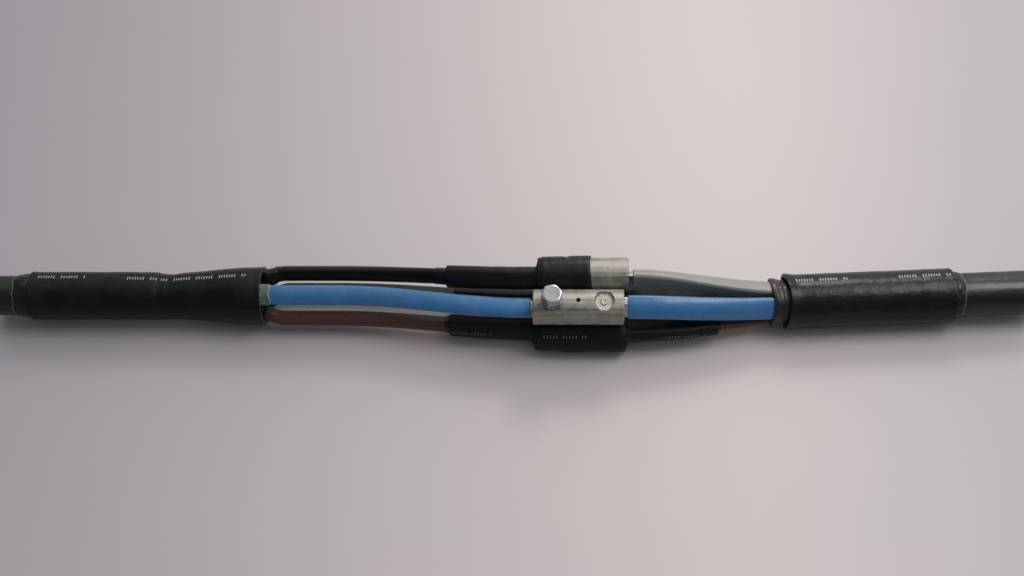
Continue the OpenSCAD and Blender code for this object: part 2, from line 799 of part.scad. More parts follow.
// Bead of hot-melt adhesive, thickest against the tube it was squeezed out of
module adhesive_ring(side) {
    color("#4a463e")
        rotate_extrude()
            polygon([
                for (k = [0 : 8])
                    let(a = 90 * k / 8)
                    [lap_r[side] + ring_h * sin(a), ring_len * (1 - cos(a))],
                [lap_r[side], ring_len]
            ]);
}

module adhesive_ring_left() {
    on_left_axis(left_ring_x - ring_len)
        adhesive_ring(LEFT);
}

module adhesive_ring_right() {
    on_right_axis()
        translate([0, 0, right_tube_len + ring_len])
            mirror([0, 0, 1])
                adhesive_ring(RIGHT);
}

// Film of adhesive on a core between two places, thinner at its free end
module glue_film(side, i, x_thick, x_thin) {
    table = core_table(side, i);
    low = min(x_thick, x_thin);
    high = max(x_thick, x_thin);
    between = [for (row = table) if (row[0] > low && row[0] < high) row[0]];
    onward = (x_thin > x_thick) == (side == LEFT);
    marks = concat(x_thick, onward ? between : reversed(between), x_thin);
    shell_loft(
        [for (x = marks) ring_between(table, x, core_outline(side, -film_wall(x, x_thick, x_thin)))],
        [for (x = marks) ring_between(table, x, core_outline(side, -seat_gap))]
    );
}

function film_wall(x, x_thick, x_thin) = glue_wall * lerp(1, 0.3, (x - x_thick) / (x_thin - x_thick));

module adhesive_crotch_left() {
    lengths = [1.25, 0.95, 0.6, 0.6];
    color("#6f7a68")
        for (i = [0 : 3])
            glue_film(LEFT, i, -left_mouth_x + seat_gap, -left_mouth_x + crotch_len * lengths[i]);
}

// Adhesive squeezed out at a sleeve's end on one side
module squeeze_out(side, i) {
    s = side == LEFT ? -1 : 1;
    end_x = conn_shift[i] + s * (sleeve_reach + seat_gap);
    glue_film(side, i, end_x, end_x + s * squeeze_len);
}

module adhesive_sleeve_upper_back() {
    color("#2b2b28")
        squeeze_out(LEFT, UPPER_BACK);
}

module adhesive_sleeve_pair(i) {
    color("#2b2b28") {
        squeeze_out(LEFT, i);
        squeeze_out(RIGHT, i);
    }
}

// Moves the joint so that the origin lies under the middle of the whole part
module placed() {
    translate([-mid_x, -mid_y, 0])
        children();
}

black = "#26272a";
blue = "#3f7fc4";
brown = "#5a4234";
grey = "#8d8f8c";

placed() sheath_left();
placed() sheath_right();
placed() bedding_left();
placed() bedding_right();
placed() core(LEFT, UPPER_BACK, black);  // core_left_black
placed() core(LEFT, FRONT, blue);  // core_left_blue
placed() core(LEFT, LOWER_FRONT, brown);  // core_left_brown
placed() core(LEFT, LOWER_BACK, grey);  // core_left_grey
placed() core(RIGHT, UPPER_BACK, grey);  // core_right_grey
placed() core(RIGHT, FRONT, blue);  // core_right_blue
placed() core(RIGHT, LOWER_FRONT, brown);  // core_right_brown
placed() core(RIGHT, LOWER_BACK, black);  // core_right_black
placed() conductor(LEFT, UPPER_BACK);  // conductor_left_black
placed() conductor(LEFT, FRONT);  // conductor_left_blue
placed() conductor(LEFT, LOWER_FRONT);  // conductor_left_brown
placed() conductor(LEFT, LOWER_BACK);  // conductor_left_grey
placed() conductor(RIGHT, UPPER_BACK);  // conductor_right_grey
placed() conductor(RIGHT, FRONT);  // conductor_right_blue
placed() conductor(RIGHT, LOWER_FRONT);  // conductor_right_brown
placed() conductor(RIGHT, LOWER_BACK);  // conductor_right_black
placed() connector(UPPER_BACK);  // connector_upper_back
placed() connector(FRONT);  // connector_front
placed() connector(LOWER_FRONT);  // connector_lower_front
placed() connector(LOWER_BACK);  // connector_lower_back
placed() bolt_front_whole();
placed() bolt_front_sheared();
placed() bolt_pair(UPPER_BACK);  // bolts_upper_back
placed() bolt_pair(LOWER_FRONT);  // bolts_lower_front
placed() bolt_pair(LOWER_BACK);  // bolts_lower_back
placed() sleeve_upper_back();
placed() whole_sleeve(LOWER_FRONT);  // sleeve_lower_front
placed() whole_sleeve(LOWER_BACK);  // sleeve_lower_back
placed() outer_tube_left();
placed() outer_tube_right();
placed() inner_collar_right();
placed() adhesive_ring_left();
placed() adhesive_ring_right();
placed() adhesive_crotch_left();
placed() adhesive_sleeve_upper_back();
placed() adhesive_sleeve_pair(LOWER_FRONT);  // adhesive_sleeve_lower_front
placed() adhesive_sleeve_pair(LOWER_BACK);  // adhesive_sleeve_lower_back
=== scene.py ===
"""Looks of a straight low-voltage cable joint, cut away as a display sample.

Sizes are millimetres in the joint's own coordinates: X runs along the cable from the middle of
the front connector, Y to the back and Z up from the table. Workshop.cast moves every point into
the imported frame, whose origin lies under the middle of the whole part.
"""
import logging
import math
from dataclasses import dataclass, field
from enum import Enum, IntEnum
from typing import Callable, Optional, Sequence

import bmesh
import bpy
import numpy as np
from mathutils import Matrix, Vector, noise


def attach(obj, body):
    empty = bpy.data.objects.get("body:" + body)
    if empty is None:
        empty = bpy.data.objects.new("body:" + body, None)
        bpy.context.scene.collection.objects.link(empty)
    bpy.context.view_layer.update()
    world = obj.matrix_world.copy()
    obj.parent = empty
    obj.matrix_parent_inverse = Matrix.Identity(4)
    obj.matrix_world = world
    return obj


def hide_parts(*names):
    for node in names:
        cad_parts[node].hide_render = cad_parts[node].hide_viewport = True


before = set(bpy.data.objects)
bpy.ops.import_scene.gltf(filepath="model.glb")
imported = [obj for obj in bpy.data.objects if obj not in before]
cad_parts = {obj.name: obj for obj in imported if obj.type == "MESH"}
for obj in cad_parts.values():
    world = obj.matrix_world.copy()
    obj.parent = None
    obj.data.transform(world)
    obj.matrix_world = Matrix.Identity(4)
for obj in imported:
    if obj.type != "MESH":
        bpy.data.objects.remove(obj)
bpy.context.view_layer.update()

Array = np.ndarray
MM_PER_M = 1000.0
log = logging.getLogger("joint")


# Lay of the cores

class Side(IntEnum):
    """Which of the two cables."""

    LEFT = 0
    RIGHT = 1

    @property
    def sign(self) -> int:
        """Direction along X from the connectors to this side's cable."""
        return -1 if self is Side.LEFT else 1


class Seat(IntEnum):
    """Places of the connectors and their cores in the bundle."""

    UPPER_BACK = 0
    FRONT = 1
    LOWER_FRONT = 2
    LOWER_BACK = 3


def ease(t: Array | float) -> Array:
    """Smooth step from 0 to 1."""
    u = np.clip(t, 0.0, 1.0)
    return u * u * (3 - 2 * u)


def direction(degrees: Array | float) -> Array:
    """Unit vector in the YZ plane, turned from +Y towards +Z."""
    a = np.radians(degrees)
    return np.stack([np.cos(a), np.sin(a)], axis=-1)


def turned_from(degrees: Array, middle: float) -> Array:
    """Angles measured from a middle one, from -180 to 180 degrees."""
    return (degrees - middle + 180) % 360 - 180


def outwards(ring: Array) -> Array:
    """Finds which way a ring's points face.

    Args:
        ring: Points of one cross-section.

    Returns:
        Unit vectors across the cable, from the ring's middle to each point.
    """
    away = ring - ring.mean(axis=0)
    away[:, 0] = 0
    return away / np.linalg.norm(away, axis=1, keepdims=True)


@dataclass
class CableLay:
    """Sizes of both cables and the way their cores run, the same as in the construction."""

    sector_r: tuple[float, float] = (12.5, 13.8)
    corner_r: tuple[float, float] = (3.1, 2.5)
    insulation_wall: float = 1.4
    bedding_wall: float = 0.5
    sheath_wall: tuple[float, float] = (1.8, 1.7)
    abrade_depth: float = 0.2
    stub_len: tuple[float, float] = (21.0, 51.0)
    lap_len: tuple[float, float] = (97.0, 70.0)
    right_yaw: float = 2.9
    conn_d: float = 25.3
    conn_len: float = 65.0
    bore_d: float = 14.5
    bore_gap: float = 0.1
    bolt_pitch: float = 37.0
    bolt_d: float = 14.0
    sleeve_wall_conn: float = 1.6
    sleeve_wall_core: float = 2.2
    sleeve_gap: float = 0.4
    left_tube_len: float = 175.0
    left_tube_wall: float = 3.5
    mouth_r: float = 21.6
    mouth_wall: float = 2.4
    right_tube_len: float = 120.0
    right_tube_wall: float = 2.5
    collar_wall: float = 1.7
    collar_show_len: float = 12.0
    collar_lap_len: float = 92.0
    ring_len: float = 9.0
    left_mouth_x: float = -231.0
    right_tube_x: float = 151.0
    axis_y: tuple[float, float] = (24.2, 20.5)
    lower_front_y: float = 3.3
    turn: tuple[float, float] = (34.0, 60.0)
    twist: tuple[float, float] = (-20.0, -19.0)
    front_bolt_turn: float = 102.0
    back_bolt_turn: float = 0.0
    spread_out: tuple[float, ...] = (9.8, 7.5, 9.6, 7.5)
    spread_out_len: float = 14.0
    swing_out: tuple[float, ...] = (0.0, 0.0, 0.0, 3.3)
    right_spread: float = 0.9
    left_straight_len: float = 55.0
    right_bend_in: float = 22.0
    seat_gap: float = 0.15
    settled_len: float = 2.0
    bare: tuple[tuple[float, ...], ...] = ((2, 1.2, 2, 2), (3.6, 2.8, 2, 2))
    conn_shift: tuple[float, ...] = (3.4, 0.0, 1.5, 4.0)

    def __post_init__(self) -> None:
        """Works out the sizes that follow from the others."""
        self.corner_far = [math.sqrt((r - c) ** 2 - c * c) for r, c in zip(self.sector_r, self.corner_r)]
        self.corner_turn = [math.degrees(math.atan2(c, f)) for f, c in zip(self.corner_far, self.corner_r)]
        self.sector_mid = [(f + c) / math.sqrt(2) for f, c in zip(self.corner_far, self.corner_r)]
        conductor_r = [(f - c) / math.sqrt(2) + c - self.insulation_wall
                       for f, c in zip(self.corner_far, self.corner_r)]
        self.press_depth = [max(0.0, self.bore_d / 2 - r - self.bore_gap) for r in conductor_r]
        self.bedding_r = [r + self.bedding_wall for r in self.sector_r]
        self.sheath_r = [b + w for b, w in zip(self.bedding_r, self.sheath_wall)]
        self.lap_r = [r - self.abrade_depth for r in self.sheath_r]
        self.left_tube_r = self.lap_r[0] + self.left_tube_wall
        self.collar_r = self.lap_r[1] + self.collar_wall
        self.right_tube_r = self.collar_r + self.right_tube_wall
        self.conn_r = self.conn_d / 2
        self.covered_r = self.conn_r + self.seat_gap + self.sleeve_wall_conn
        self._stack_connectors()
        self.left_ring_x = self.left_mouth_x - self.left_tube_len
        self.left_end_x = self.left_ring_x - self.ring_len - self.stub_len[0]
        self.left_sheath_x = self.left_ring_x + self.lap_len[0]
        self.collar_x = self.right_tube_x - self.collar_show_len
        self.axis_z = (self.mouth_r, self.right_tube_r)
        self.bend_x = (self.left_mouth_x + self.left_straight_len, self.collar_x + self.right_bend_in)
        self.left_spread = self.mouth_r - self.mouth_wall - self.seat_gap - self.sector_r[0]
        self.right_end_at = self.right_tube_len + self.ring_len + self.stub_len[1]
        self.right_sheath_at = self.right_tube_len - self.lap_len[1]
        self.right_far = self.right_point(self.right_end_at)
        self.right_sheath_x = self.right_point(self.right_sheath_at)[0]
        self.shift = self._frame_shift()

    def _stack_connectors(self) -> None:
        """Sets each connector on those below it."""
        front_to_lower = self.conn_r + self.covered_r + self.seat_gap
        cover_to_cover = 2 * self.covered_r + self.seat_gap
        front = np.array([0.0, self.covered_r + math.sqrt(front_to_lower ** 2 - self.lower_front_y ** 2)])
        low = np.array([cover_to_cover - self.lower_front_y, self.covered_r])
        gap = float(np.linalg.norm(low - front))
        along = (front_to_lower ** 2 - cover_to_cover ** 2 + gap ** 2) / (2 * gap)
        off = math.sqrt(front_to_lower ** 2 - along ** 2)
        unit = (low - front) / gap
        top = front + along * unit + off * np.array([-unit[1], unit[0]])
        self.conn_y = [top[0], 0.0, -self.lower_front_y, low[0]]
        self.conn_z = [top[1], front[1], self.covered_r, self.covered_r]

    def _frame_shift(self) -> Array:
        """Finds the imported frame's origin.

        Returns:
            Its place in joint coordinates: under the middle of the whole part's box.
        """
        yaw = math.radians(self.right_yaw)
        mid_x = (self.left_end_x + self.right_far[0] + self.sheath_r[1] * math.sin(yaw)) / 2
        tube_far = self.right_point(self.right_tube_len)
        back_y = max(tube_far[1] + self.right_tube_r * math.cos(yaw) - math.sin(yaw),
                     self.right_far[1] + self.sheath_r[1] * math.cos(yaw),
                     self.axis_y[0] + self.mouth_r, self.conn_y[0] + self.covered_r)
        return np.array([mid_x, (back_y - self.lower_front_y - self.covered_r) / 2, 0.0])

    def right_point(self, at: float) -> Array:
        """Finds a point on the right cable's axis.

        Args:
            at: Length from the outer tube's near end.

        Returns:
            The point in joint coordinates.
        """
        yaw = math.radians(self.right_yaw)
        return np.array([self.right_tube_x + at * math.cos(yaw),
                         self.axis_y[1] + at * math.sin(yaw), self.right_tube_r])

    def core_turn(self, side: Side, seat: Seat) -> float:
        """Direction of a core's arc in its cable."""
        return self.turn[side] + 90.0 * seat

    def seat_turn(self, side: Side, seat: Seat) -> float:
        """Direction of a core's arc in its connector."""
        return self.core_turn(side, seat) + self.twist[side]

    def bolt_turn(self, seat: Seat) -> float:
        """Direction that a connector's bolts point in.

        Args:
            seat: The connector.

        Returns:
            Degrees in the YZ plane, from +Y towards +Z.
        """
        if seat is Seat.FRONT:
            return self.front_bolt_turn
        if seat is Seat.UPPER_BACK:
            return self.back_bolt_turn
        return (self.seat_turn(Side.LEFT, seat) + self.seat_turn(Side.RIGHT, seat)) / 2

    def face_x(self, side: Side, seat: Seat) -> float:
        """X of a connector's end face."""
        return self.conn_shift[seat] + side.sign * self.conn_len / 2

    def strip_x(self, side: Side, seat: Seat) -> float:
        """X at which a core's insulation ends."""
        return self.face_x(side, seat) + side.sign * self.bare[side][seat]

    def spread_at(self, side: Side, seat: Seat, x: float) -> float:
        """Outward spread of a core, which grows from the sheath's end to the mouth and beyond.

        Args:
            side: The cable that the core belongs to.
            seat: The core's connector.
            x: Place along the joint.

        Returns:
            Millimetres away from the cable's axis.
        """
        if side is Side.LEFT:
            inside = ease((x - self.left_sheath_x) / (self.left_mouth_x - self.left_sheath_x))
            outside = ease((x - self.left_mouth_x) / self.spread_out_len)
            return self.left_spread * inside + (self.spread_out[seat] - self.left_spread) * outside
        return self.right_spread * ease((self.right_sheath_x - x) / (self.right_sheath_x - self.collar_x))

    def place(self, side: Side, seat: Seat, x: float) -> tuple[Array, float, float]:
        """Lays one cross-section of a core.

        Args:
            side: The cable that the core belongs to.
            seat: The core's connector.
            x: Place along the joint.

        Returns:
            The cross-section's middle, and its yaw and turn in degrees.
        """
        settled = self.strip_x(side, seat) + self.settled_len * side.sign
        share = float(ease((x - self.bend_x[side]) / (settled - self.bend_x[side])))
        yaw = 0.0 if side is Side.LEFT else self.right_yaw
        y = self.axis_y[0] if side is Side.LEFT else (
            self.axis_y[1] + (x - self.right_tube_x) * math.tan(math.radians(yaw)))
        turn = self.core_turn(side, seat)
        swing = self.swing_out[seat] * float(ease((x - self.left_mouth_x) / self.spread_out_len))
        out = (self.sector_mid[side] + self.spread_at(side, seat, x)) * direction(turn)
        if side is Side.LEFT:
            out = out + swing * direction(turn + 90)
        in_cable = np.array([x - out[0] * math.sin(math.radians(yaw)),
                             y + out[0] * math.cos(math.radians(yaw)), self.axis_z[side] + out[1]])
        pressed = np.array([self.conn_y[seat], self.conn_z[seat]]) - (
            self.press_depth[side] * direction(self.bolt_turn(seat)))
        in_conn = np.array([x, pressed[0], pressed[1]])
        return in_cable + (in_conn - in_cable) * share, yaw * (1 - share), turn + self.twist[side] * share

    def outline(self, side: Side, wall: float, steps: int = 9) -> Array:
        """Rounded sector shrunk by a wall, with the middle of its conductor at the origin.

        Args:
            side: The cable that the core belongs to.
            wall: Distance inwards from the insulation's surface. Less than 0 grows the sector.
            steps: Steps in each curve.

        Returns:
            Points in the YZ plane, with the middle of the sector's arc along the first axis.
        """
        far, corner, half = self.corner_far[side], self.corner_r[side], self.corner_turn[side]
        r = corner - wall
        ramp = np.linspace(0.0, 1.0, steps + 1)
        points = np.concatenate([
            [far, corner] + r * direction(-90 + (90 + half) * ramp),
            (self.sector_r[side] - wall) * direction(half + (90 - 2 * half) * ramp[1:-1]),
            [corner, far] + r * direction(90 - half + (90 + half) * ramp),
            [corner, corner] + r * direction(180 + 90 * np.linspace(0.0, 1.0, steps)),
        ])
        c = math.cos(math.radians(45))
        turned = np.stack([(points[:, 0] + points[:, 1]) * c, (points[:, 1] - points[:, 0]) * c], axis=-1)
        return turned - [self.sector_mid[side], 0.0]

    def ring(self, side: Side, seat: Seat, x: float, outline: Array) -> Array:
        """Sets an outline at a core's cross-section.

        Args:
            side: The cable that the core belongs to.
            seat: The core's connector.
            x: Place along the joint.
            outline: Points in the YZ plane, as outline() gives them.

        Returns:
            One point in joint coordinates for each of the outline's.
        """
        middle, yaw, turn = self.place(side, seat, x)
        t, a = math.radians(turn), math.radians(yaw)
        y = outline[:, 0] * math.cos(t) - outline[:, 1] * math.sin(t)
        z = outline[:, 0] * math.sin(t) + outline[:, 1] * math.cos(t)
        return np.stack([middle[0] - y * math.sin(a), middle[1] + y * math.cos(a), middle[2] + z], axis=-1)

    def reach(self, side: Side, angles: Array, grow: float) -> Array:
        """Distance from a conductor's middle to the core's surface grown by a margin.

        Args:
            side: The cable that the core belongs to.
            angles: Directions in degrees, measured from the middle of the sector's arc.
            grow: Margin outside the insulation.

        Returns:
            One distance for each direction.
        """
        points = self.outline(side, 0.0)
        step = np.roll(points, -1, axis=0) - points
        across = np.stack([step[:, 1], -step[:, 0]], axis=-1)
        across /= np.linalg.norm(across, axis=1, keepdims=True)
        offset = np.sum(points * across, axis=1)
        cosine = direction(angles) @ across.T
        hit = np.where(cosine > 0.05, (offset + grow) / np.maximum(cosine, 0.05), np.inf)
        return hit.min(axis=1)


# Mesh making

def ripple(points: Array, size: float, seed: float = 0.0) -> Array:
    """Smooth noise between about -1 and 1.

    Args:
        points: Positions in millimetres, last axis of length 3.
        size: Size of a lump in millimetres.
        seed: Offset that gives another pattern.

    Returns:
        One value for each point.
    """
    flat = np.asarray(points, dtype=float).reshape(-1, 3) / size + seed
    values = [noise.noise(Vector(p)) for p in flat]
    return np.array(values).reshape(np.asarray(points).shape[:-1])


@dataclass(frozen=True)
class Lumps:
    """Smooth unevenness of a surface: its height and size in millimetres, and its pattern."""

    height: float
    size: float
    seed: float = 0.0

    def at(self, points: Array) -> Array:
        """Radial offsets at points."""
        return self.height * ripple(points, self.size, self.seed)


@dataclass
class Skin:
    """Quads over a grid of points that closes round its second axis."""

    grid: Array
    joined: bool = True
    bands: Optional[Sequence[int]] = None

    def faces(self) -> tuple[Array, Array]:
        """Joins each row of points to the next.

        Returns:
            Corner numbers of every quad, and its band's finish number.
        """
        rows, cols = self.grid.shape[:2]
        count = rows if self.joined else rows - 1
        i, j = np.meshgrid(np.arange(count), np.arange(cols), indexing="ij")
        down, right = (i + 1) % rows, (j + 1) % cols
        quads = np.stack([i * cols + j, i * cols + right, down * cols + right, down * cols + j], axis=-1)
        bands = np.zeros(rows, int) if self.bands is None else np.asarray(self.bands)
        return quads.reshape(-1, 4), np.repeat(bands[:count], cols)


class Workshop:
    """Turns skins in joint millimetres into pieces of the scene, and logs each piece's face count."""

    def __init__(self, lay: CableLay) -> None:
        """Keeps the lay that every piece is cast for."""
        self.lay = lay

    def cast(self, points: Array) -> Array:
        """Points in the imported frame's metres."""
        return (np.asarray(points).reshape(-1, 3) - self.lay.shift) / MM_PER_M

    def piece(self, name: str, skins: Sequence[Skin], finishes: Sequence[bpy.types.Material],
              slot: str, nodes: Sequence[str] = ()) -> None:
        """Makes one piece from its skins and lets it ride on the joint.

        Args:
            name: The piece's name.
            skins: Its closed or capped surfaces.
            finishes: Materials that the skins' bands number.
            slot: The record's material slot. Not used.
            nodes: Solids that the piece stands for.
        """
        builder = bmesh.new()
        for skin in skins:
            verts = [builder.verts.new(p) for p in self.cast(skin.grid)]
            quads, bands = skin.faces()
            for quad, band in zip(quads, bands):
                face = builder.faces.new([verts[k] for k in quad])
                face.material_index = int(band)
                face.smooth = True
            if not skin.joined:
                cols = skin.grid.shape[1]
                ends = [0] if skin.bands is None else list(skin.bands)
                for row, band in ((verts[:cols], ends[0]), (verts[-cols:], ends[-1])):
                    cap = builder.faces.new(row)
                    cap.material_index = int(band)
        bmesh.ops.recalc_face_normals(builder, faces=builder.faces)
        mesh = bpy.data.meshes.new(name)
        builder.to_mesh(mesh)
        builder.free()
        for finish in finishes:
            mesh.materials.append(finish)
        made = bpy.data.objects.new(name, mesh)
        bpy.context.scene.collection.objects.link(made)
        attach(made, "root")
        if nodes:
            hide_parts(*nodes)
        log.info("%s: %d faces", name, len(mesh.polygons))

    @staticmethod
    def dress(nodes: Sequence[str], finish: bpy.types.Material) -> None:
        """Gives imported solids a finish.

        Args:
            nodes: Names of the solids.
            finish: Their material.
        """
        for node in nodes:
            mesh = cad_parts[node].data
            mesh.materials.clear()
            mesh.materials.append(finish)
            log.info("%s: dressed as %s", node, finish.name)


# Finishes

def linear(code: str) -> tuple[float, float, float, float]:
    """Turns an sRGB colour linear.

    Args:
        code: Hex value such as 8c6a40.

    Returns:
        Linear red, green and blue, and full opacity.
    """
    parts = [int(code[k:k + 2], 16) / 255 for k in (0, 2, 4)]
    red, green, blue = (p / 12.92 if p <= 0.04045 else ((p + 0.055) / 1.055) ** 2.4 for p in parts)
    return red, green, blue, 1.0


def add_node(tree: bpy.types.NodeTree, kind: str, settings: Optional[dict] = None,
             links: Optional[dict] = None) -> bpy.types.Node:
    """Adds a shader node.

    Args:
        tree: The material's node tree.
        kind: The node's type without its ShaderNode prefix.
        settings: Properties and unlinked inputs, by name or by input number.
        links: Output sockets, by the name or number of the input that each goes to.

    Returns:
        The new node.
    """
    node = tree.nodes.new("ShaderNode" + kind)
    for key, value in (settings or {}).items():
        if isinstance(key, str) and hasattr(node, key):
            setattr(node, key, value)
        else:
            node.inputs[key].default_value = value
    for key, source in (links or {}).items():
        tree.links.new(source, node.inputs[key])
    return node


@dataclass(frozen=True)
class Finish:
    """A surface: its real material and how it was made."""

    name: str

    def make(self) -> bpy.types.Material:
        """Builds the material with positions in millimetres.

        Returns:
            The new material.
        """
        material = bpy.data.materials.new(self.name)
        material.use_nodes = True
        tree = material.node_tree
        tree.nodes.clear()
        place = add_node(tree, "TexCoord")
        mm = add_node(tree, "Mapping", {"Scale": (MM_PER_M, MM_PER_M, MM_PER_M)},
                      {"Vector": place.outputs["Object"]})
        shader = add_node(tree, "BsdfPrincipled")
        add_node(tree, "OutputMaterial", links={"Surface": shader.outputs["BSDF"]})
        self.lay_out(tree, mm.outputs["Vector"], shader)
        return material

    def lay_out(self, tree: bpy.types.NodeTree, mm: bpy.types.NodeSocket,
                shader: bpy.types.Node) -> None:
        """Adds the finish's own nodes.

        Args:
            tree: The material's node tree.
            mm: Socket with the position in millimetres.
            shader: The material's surface shader.
        """
        raise NotImplementedError


@dataclass(frozen=True)
class ExtrudedPlastic(Finish):
    """Plastic drawn out of a die round a core or cable.

    To the eye: an even colour with a satin gloss, faint drawn streaks along the cable and soft
    smudges where it was handled.
    """

    colour: str = "3d78b4"
    worn: str = "6f9ac4"
    roughness: float = 0.28
    streak_mm: float = 1.3
    relief: float = 0.25
    specular: float = 0.5
    lumps: float = 0.12
    smudge_mm: float = 14.0
    skin_mm: float = 0.7
    lump_mm: float = 8.0

    def lay_out(self, tree: bpy.types.NodeTree, mm: bpy.types.NodeSocket,
                shader: bpy.types.Node) -> None:
        """Streaks along X, smudges and a fine skin.

        Args:
            tree: The material's node tree.
            mm: Socket with the position in millimetres.
            shader: The material's surface shader.
        """
        drawn = add_node(tree, "Mapping", {"Scale": (0.03, 1.0, 1.0)}, {"Vector": mm})
        streaks = add_node(tree, "TexNoise", {"Scale": 1 / self.streak_mm, "Detail": 3.0},
                           {"Vector": drawn.outputs["Vector"]})
        smudges = add_node(tree, "TexNoise", {"Scale": 1 / self.smudge_mm, "Detail": 4.0, "Roughness": 0.6},
                           {"Vector": mm})
        skin = add_node(tree, "TexNoise", {"Scale": 1 / self.skin_mm, "Detail": 2.0}, {"Vector": mm})
        wear = add_node(tree, "MapRange", {"From Min": 0.45, "From Max": 0.85, "To Max": 0.22},
                        {"Value": smudges.outputs["Fac"]})
        tone = add_node(tree, "Mix", {"data_type": "RGBA", 6: linear(self.colour), 7: linear(self.worn)},
                        {0: wear.outputs["Result"]})
        gloss = add_node(tree, "MapRange", {"To Min": self.roughness - 0.08, "To Max": self.roughness + 0.12},
                         {"Value": smudges.outputs["Fac"]})
        low = add_node(tree, "Bump", {"Strength": self.relief, "Distance": 0.0003},
                       {"Height": streaks.outputs["Fac"]})
        fine = add_node(tree, "Bump", {"Strength": self.relief * 0.5, "Distance": 0.0001},
                        {"Height": skin.outputs["Fac"], "Normal": low.outputs["Normal"]})
        uneven = add_node(tree, "TexNoise", {"Scale": 1 / self.lump_mm, "Detail": 1.0}, {"Vector": mm})
        broad = add_node(tree, "Bump", {"Strength": self.lumps, "Distance": 0.002},
                         {"Height": uneven.outputs["Fac"], "Normal": fine.outputs["Normal"]})
        shader.inputs["Specular IOR Level"].default_value = self.specular
        tree.links.new(tone.outputs[2], shader.inputs["Base Color"])
        tree.links.new(gloss.outputs["Result"], shader.inputs["Roughness"])
        tree.links.new(broad.outputs["Normal"], shader.inputs["Normal"])


@dataclass(frozen=True)
class ShrunkPolyolefin(Finish):
    """Cross-linked polyolefin tube, shrunk on with a gas flame.

    To the eye: nearly black, satin, with a slightly lumpy orange-peel skin and a pale bloom.
    """

    colour: str = "0b0b0c"
    bloom: str = "161718"
    roughness: float = 0.22
    peel_mm: float = 2.4
    relief: float = 0.4
    specular: float = 0.22
    lump_mm: float = 9.0
    grain_mm: float = 0.5
    bloom_mm: float = 22.0

    def lay_out(self, tree: bpy.types.NodeTree, mm: bpy.types.NodeSocket,
                shader: bpy.types.Node) -> None:
        """Orange peel, soft lumps, grain and bloom.

        Args:
            tree: The material's node tree.
            mm: Socket with the position in millimetres.
            shader: The material's surface shader.
        """
        peel = add_node(tree, "TexNoise", {"Scale": 1 / self.peel_mm, "Detail": 2.0}, {"Vector": mm})
        lumps = add_node(tree, "TexNoise", {"Scale": 1 / self.lump_mm, "Detail": 2.0}, {"Vector": mm})
        grain = add_node(tree, "TexNoise", {"Scale": 1 / self.grain_mm, "Detail": 2.0}, {"Vector": mm})
        cloud = add_node(tree, "TexNoise", {"Scale": 1 / self.bloom_mm, "Detail": 5.0, "Roughness": 0.62},
                         {"Vector": mm})
        patch = add_node(tree, "MapRange", {"From Min": 0.42, "From Max": 0.75},
                         {"Value": cloud.outputs["Fac"]})
        tone = add_node(tree, "Mix", {"data_type": "RGBA", 6: linear(self.colour), 7: linear(self.bloom)},
                        {0: patch.outputs["Result"]})
        gloss = add_node(tree, "MapRange", {"To Min": self.roughness - 0.1, "To Max": self.roughness + 0.16},
                         {"Value": cloud.outputs["Fac"]})
        rough = add_node(tree, "Math", {"operation": "MULTIPLY_ADD", 1: 0.12},
                         {0: grain.outputs["Fac"], 2: gloss.outputs["Result"]})
        low = add_node(tree, "Bump", {"Strength": self.relief, "Distance": 0.0012},
                       {"Height": lumps.outputs["Fac"]})
        mid = add_node(tree, "Bump", {"Strength": self.relief, "Distance": 0.0003},
                       {"Height": peel.outputs["Fac"], "Normal": low.outputs["Normal"]})
        fine = add_node(tree, "Bump", {"Strength": self.relief * 0.6, "Distance": 0.0001},
                        {"Height": grain.outputs["Fac"], "Normal": mid.outputs["Normal"]})
        shader.inputs["Specular IOR Level"].default_value = self.specular
        tree.links.new(tone.outputs[2], shader.inputs["Base Color"])
        tree.links.new(rough.outputs["Value"], shader.inputs["Roughness"])
        tree.links.new(fine.outputs["Normal"], shader.inputs["Normal"])


@dataclass(frozen=True)
class CutFace(Finish):
    """Plastic cut across with a knife or a saw.

    To the eye: paler and duller than the skin, with fine drag marks.
    """

    colour: str = "4b4950"
    light: str = "86828e"
    mark_mm: float = 0.5
    blotch_mm: float = 5.0

    def lay_out(self, tree: bpy.types.NodeTree, mm: bpy.types.NodeSocket,
                shader: bpy.types.Node) -> None:
        """Drag marks across the cut.

        Args:
            tree: The material's node tree.
            mm: Socket with the position in millimetres.
            shader: The material's surface shader.
        """
        across = add_node(tree, "Mapping", {"Scale": (1.0, 0.15, 1.0), "Rotation": (0.5, 0.0, 0.0)},
                          {"Vector": mm})
        marks = add_node(tree, "TexNoise", {"Scale": 1 / self.mark_mm, "Detail": 3.0},
                         {"Vector": across.outputs["Vector"]})
        cloud = add_node(tree, "TexNoise", {"Scale": 1 / self.blotch_mm, "Detail": 3.0}, {"Vector": mm})
        share = add_node(tree, "Math", {"operation": "MULTIPLY"},
                         {0: marks.outputs["Fac"], 1: cloud.outputs["Fac"]})
        spread = add_node(tree, "MapRange", {"From Min": 0.12, "From Max": 0.42},
                          {"Value": share.outputs["Value"]})
        tone = add_node(tree, "Mix", {"data_type": "RGBA", 6: linear(self.colour), 7: linear(self.light)},
                        {0: spread.outputs["Result"]})
        bump = add_node(tree, "Bump", {"Strength": 0.4, "Distance": 0.0002},
                        {"Height": marks.outputs["Fac"]})
        shader.inputs["Roughness"].default_value = 0.62
        tree.links.new(tone.outputs[2], shader.inputs["Base Color"])
        tree.links.new(bump.outputs["Normal"], shader.inputs["Normal"])


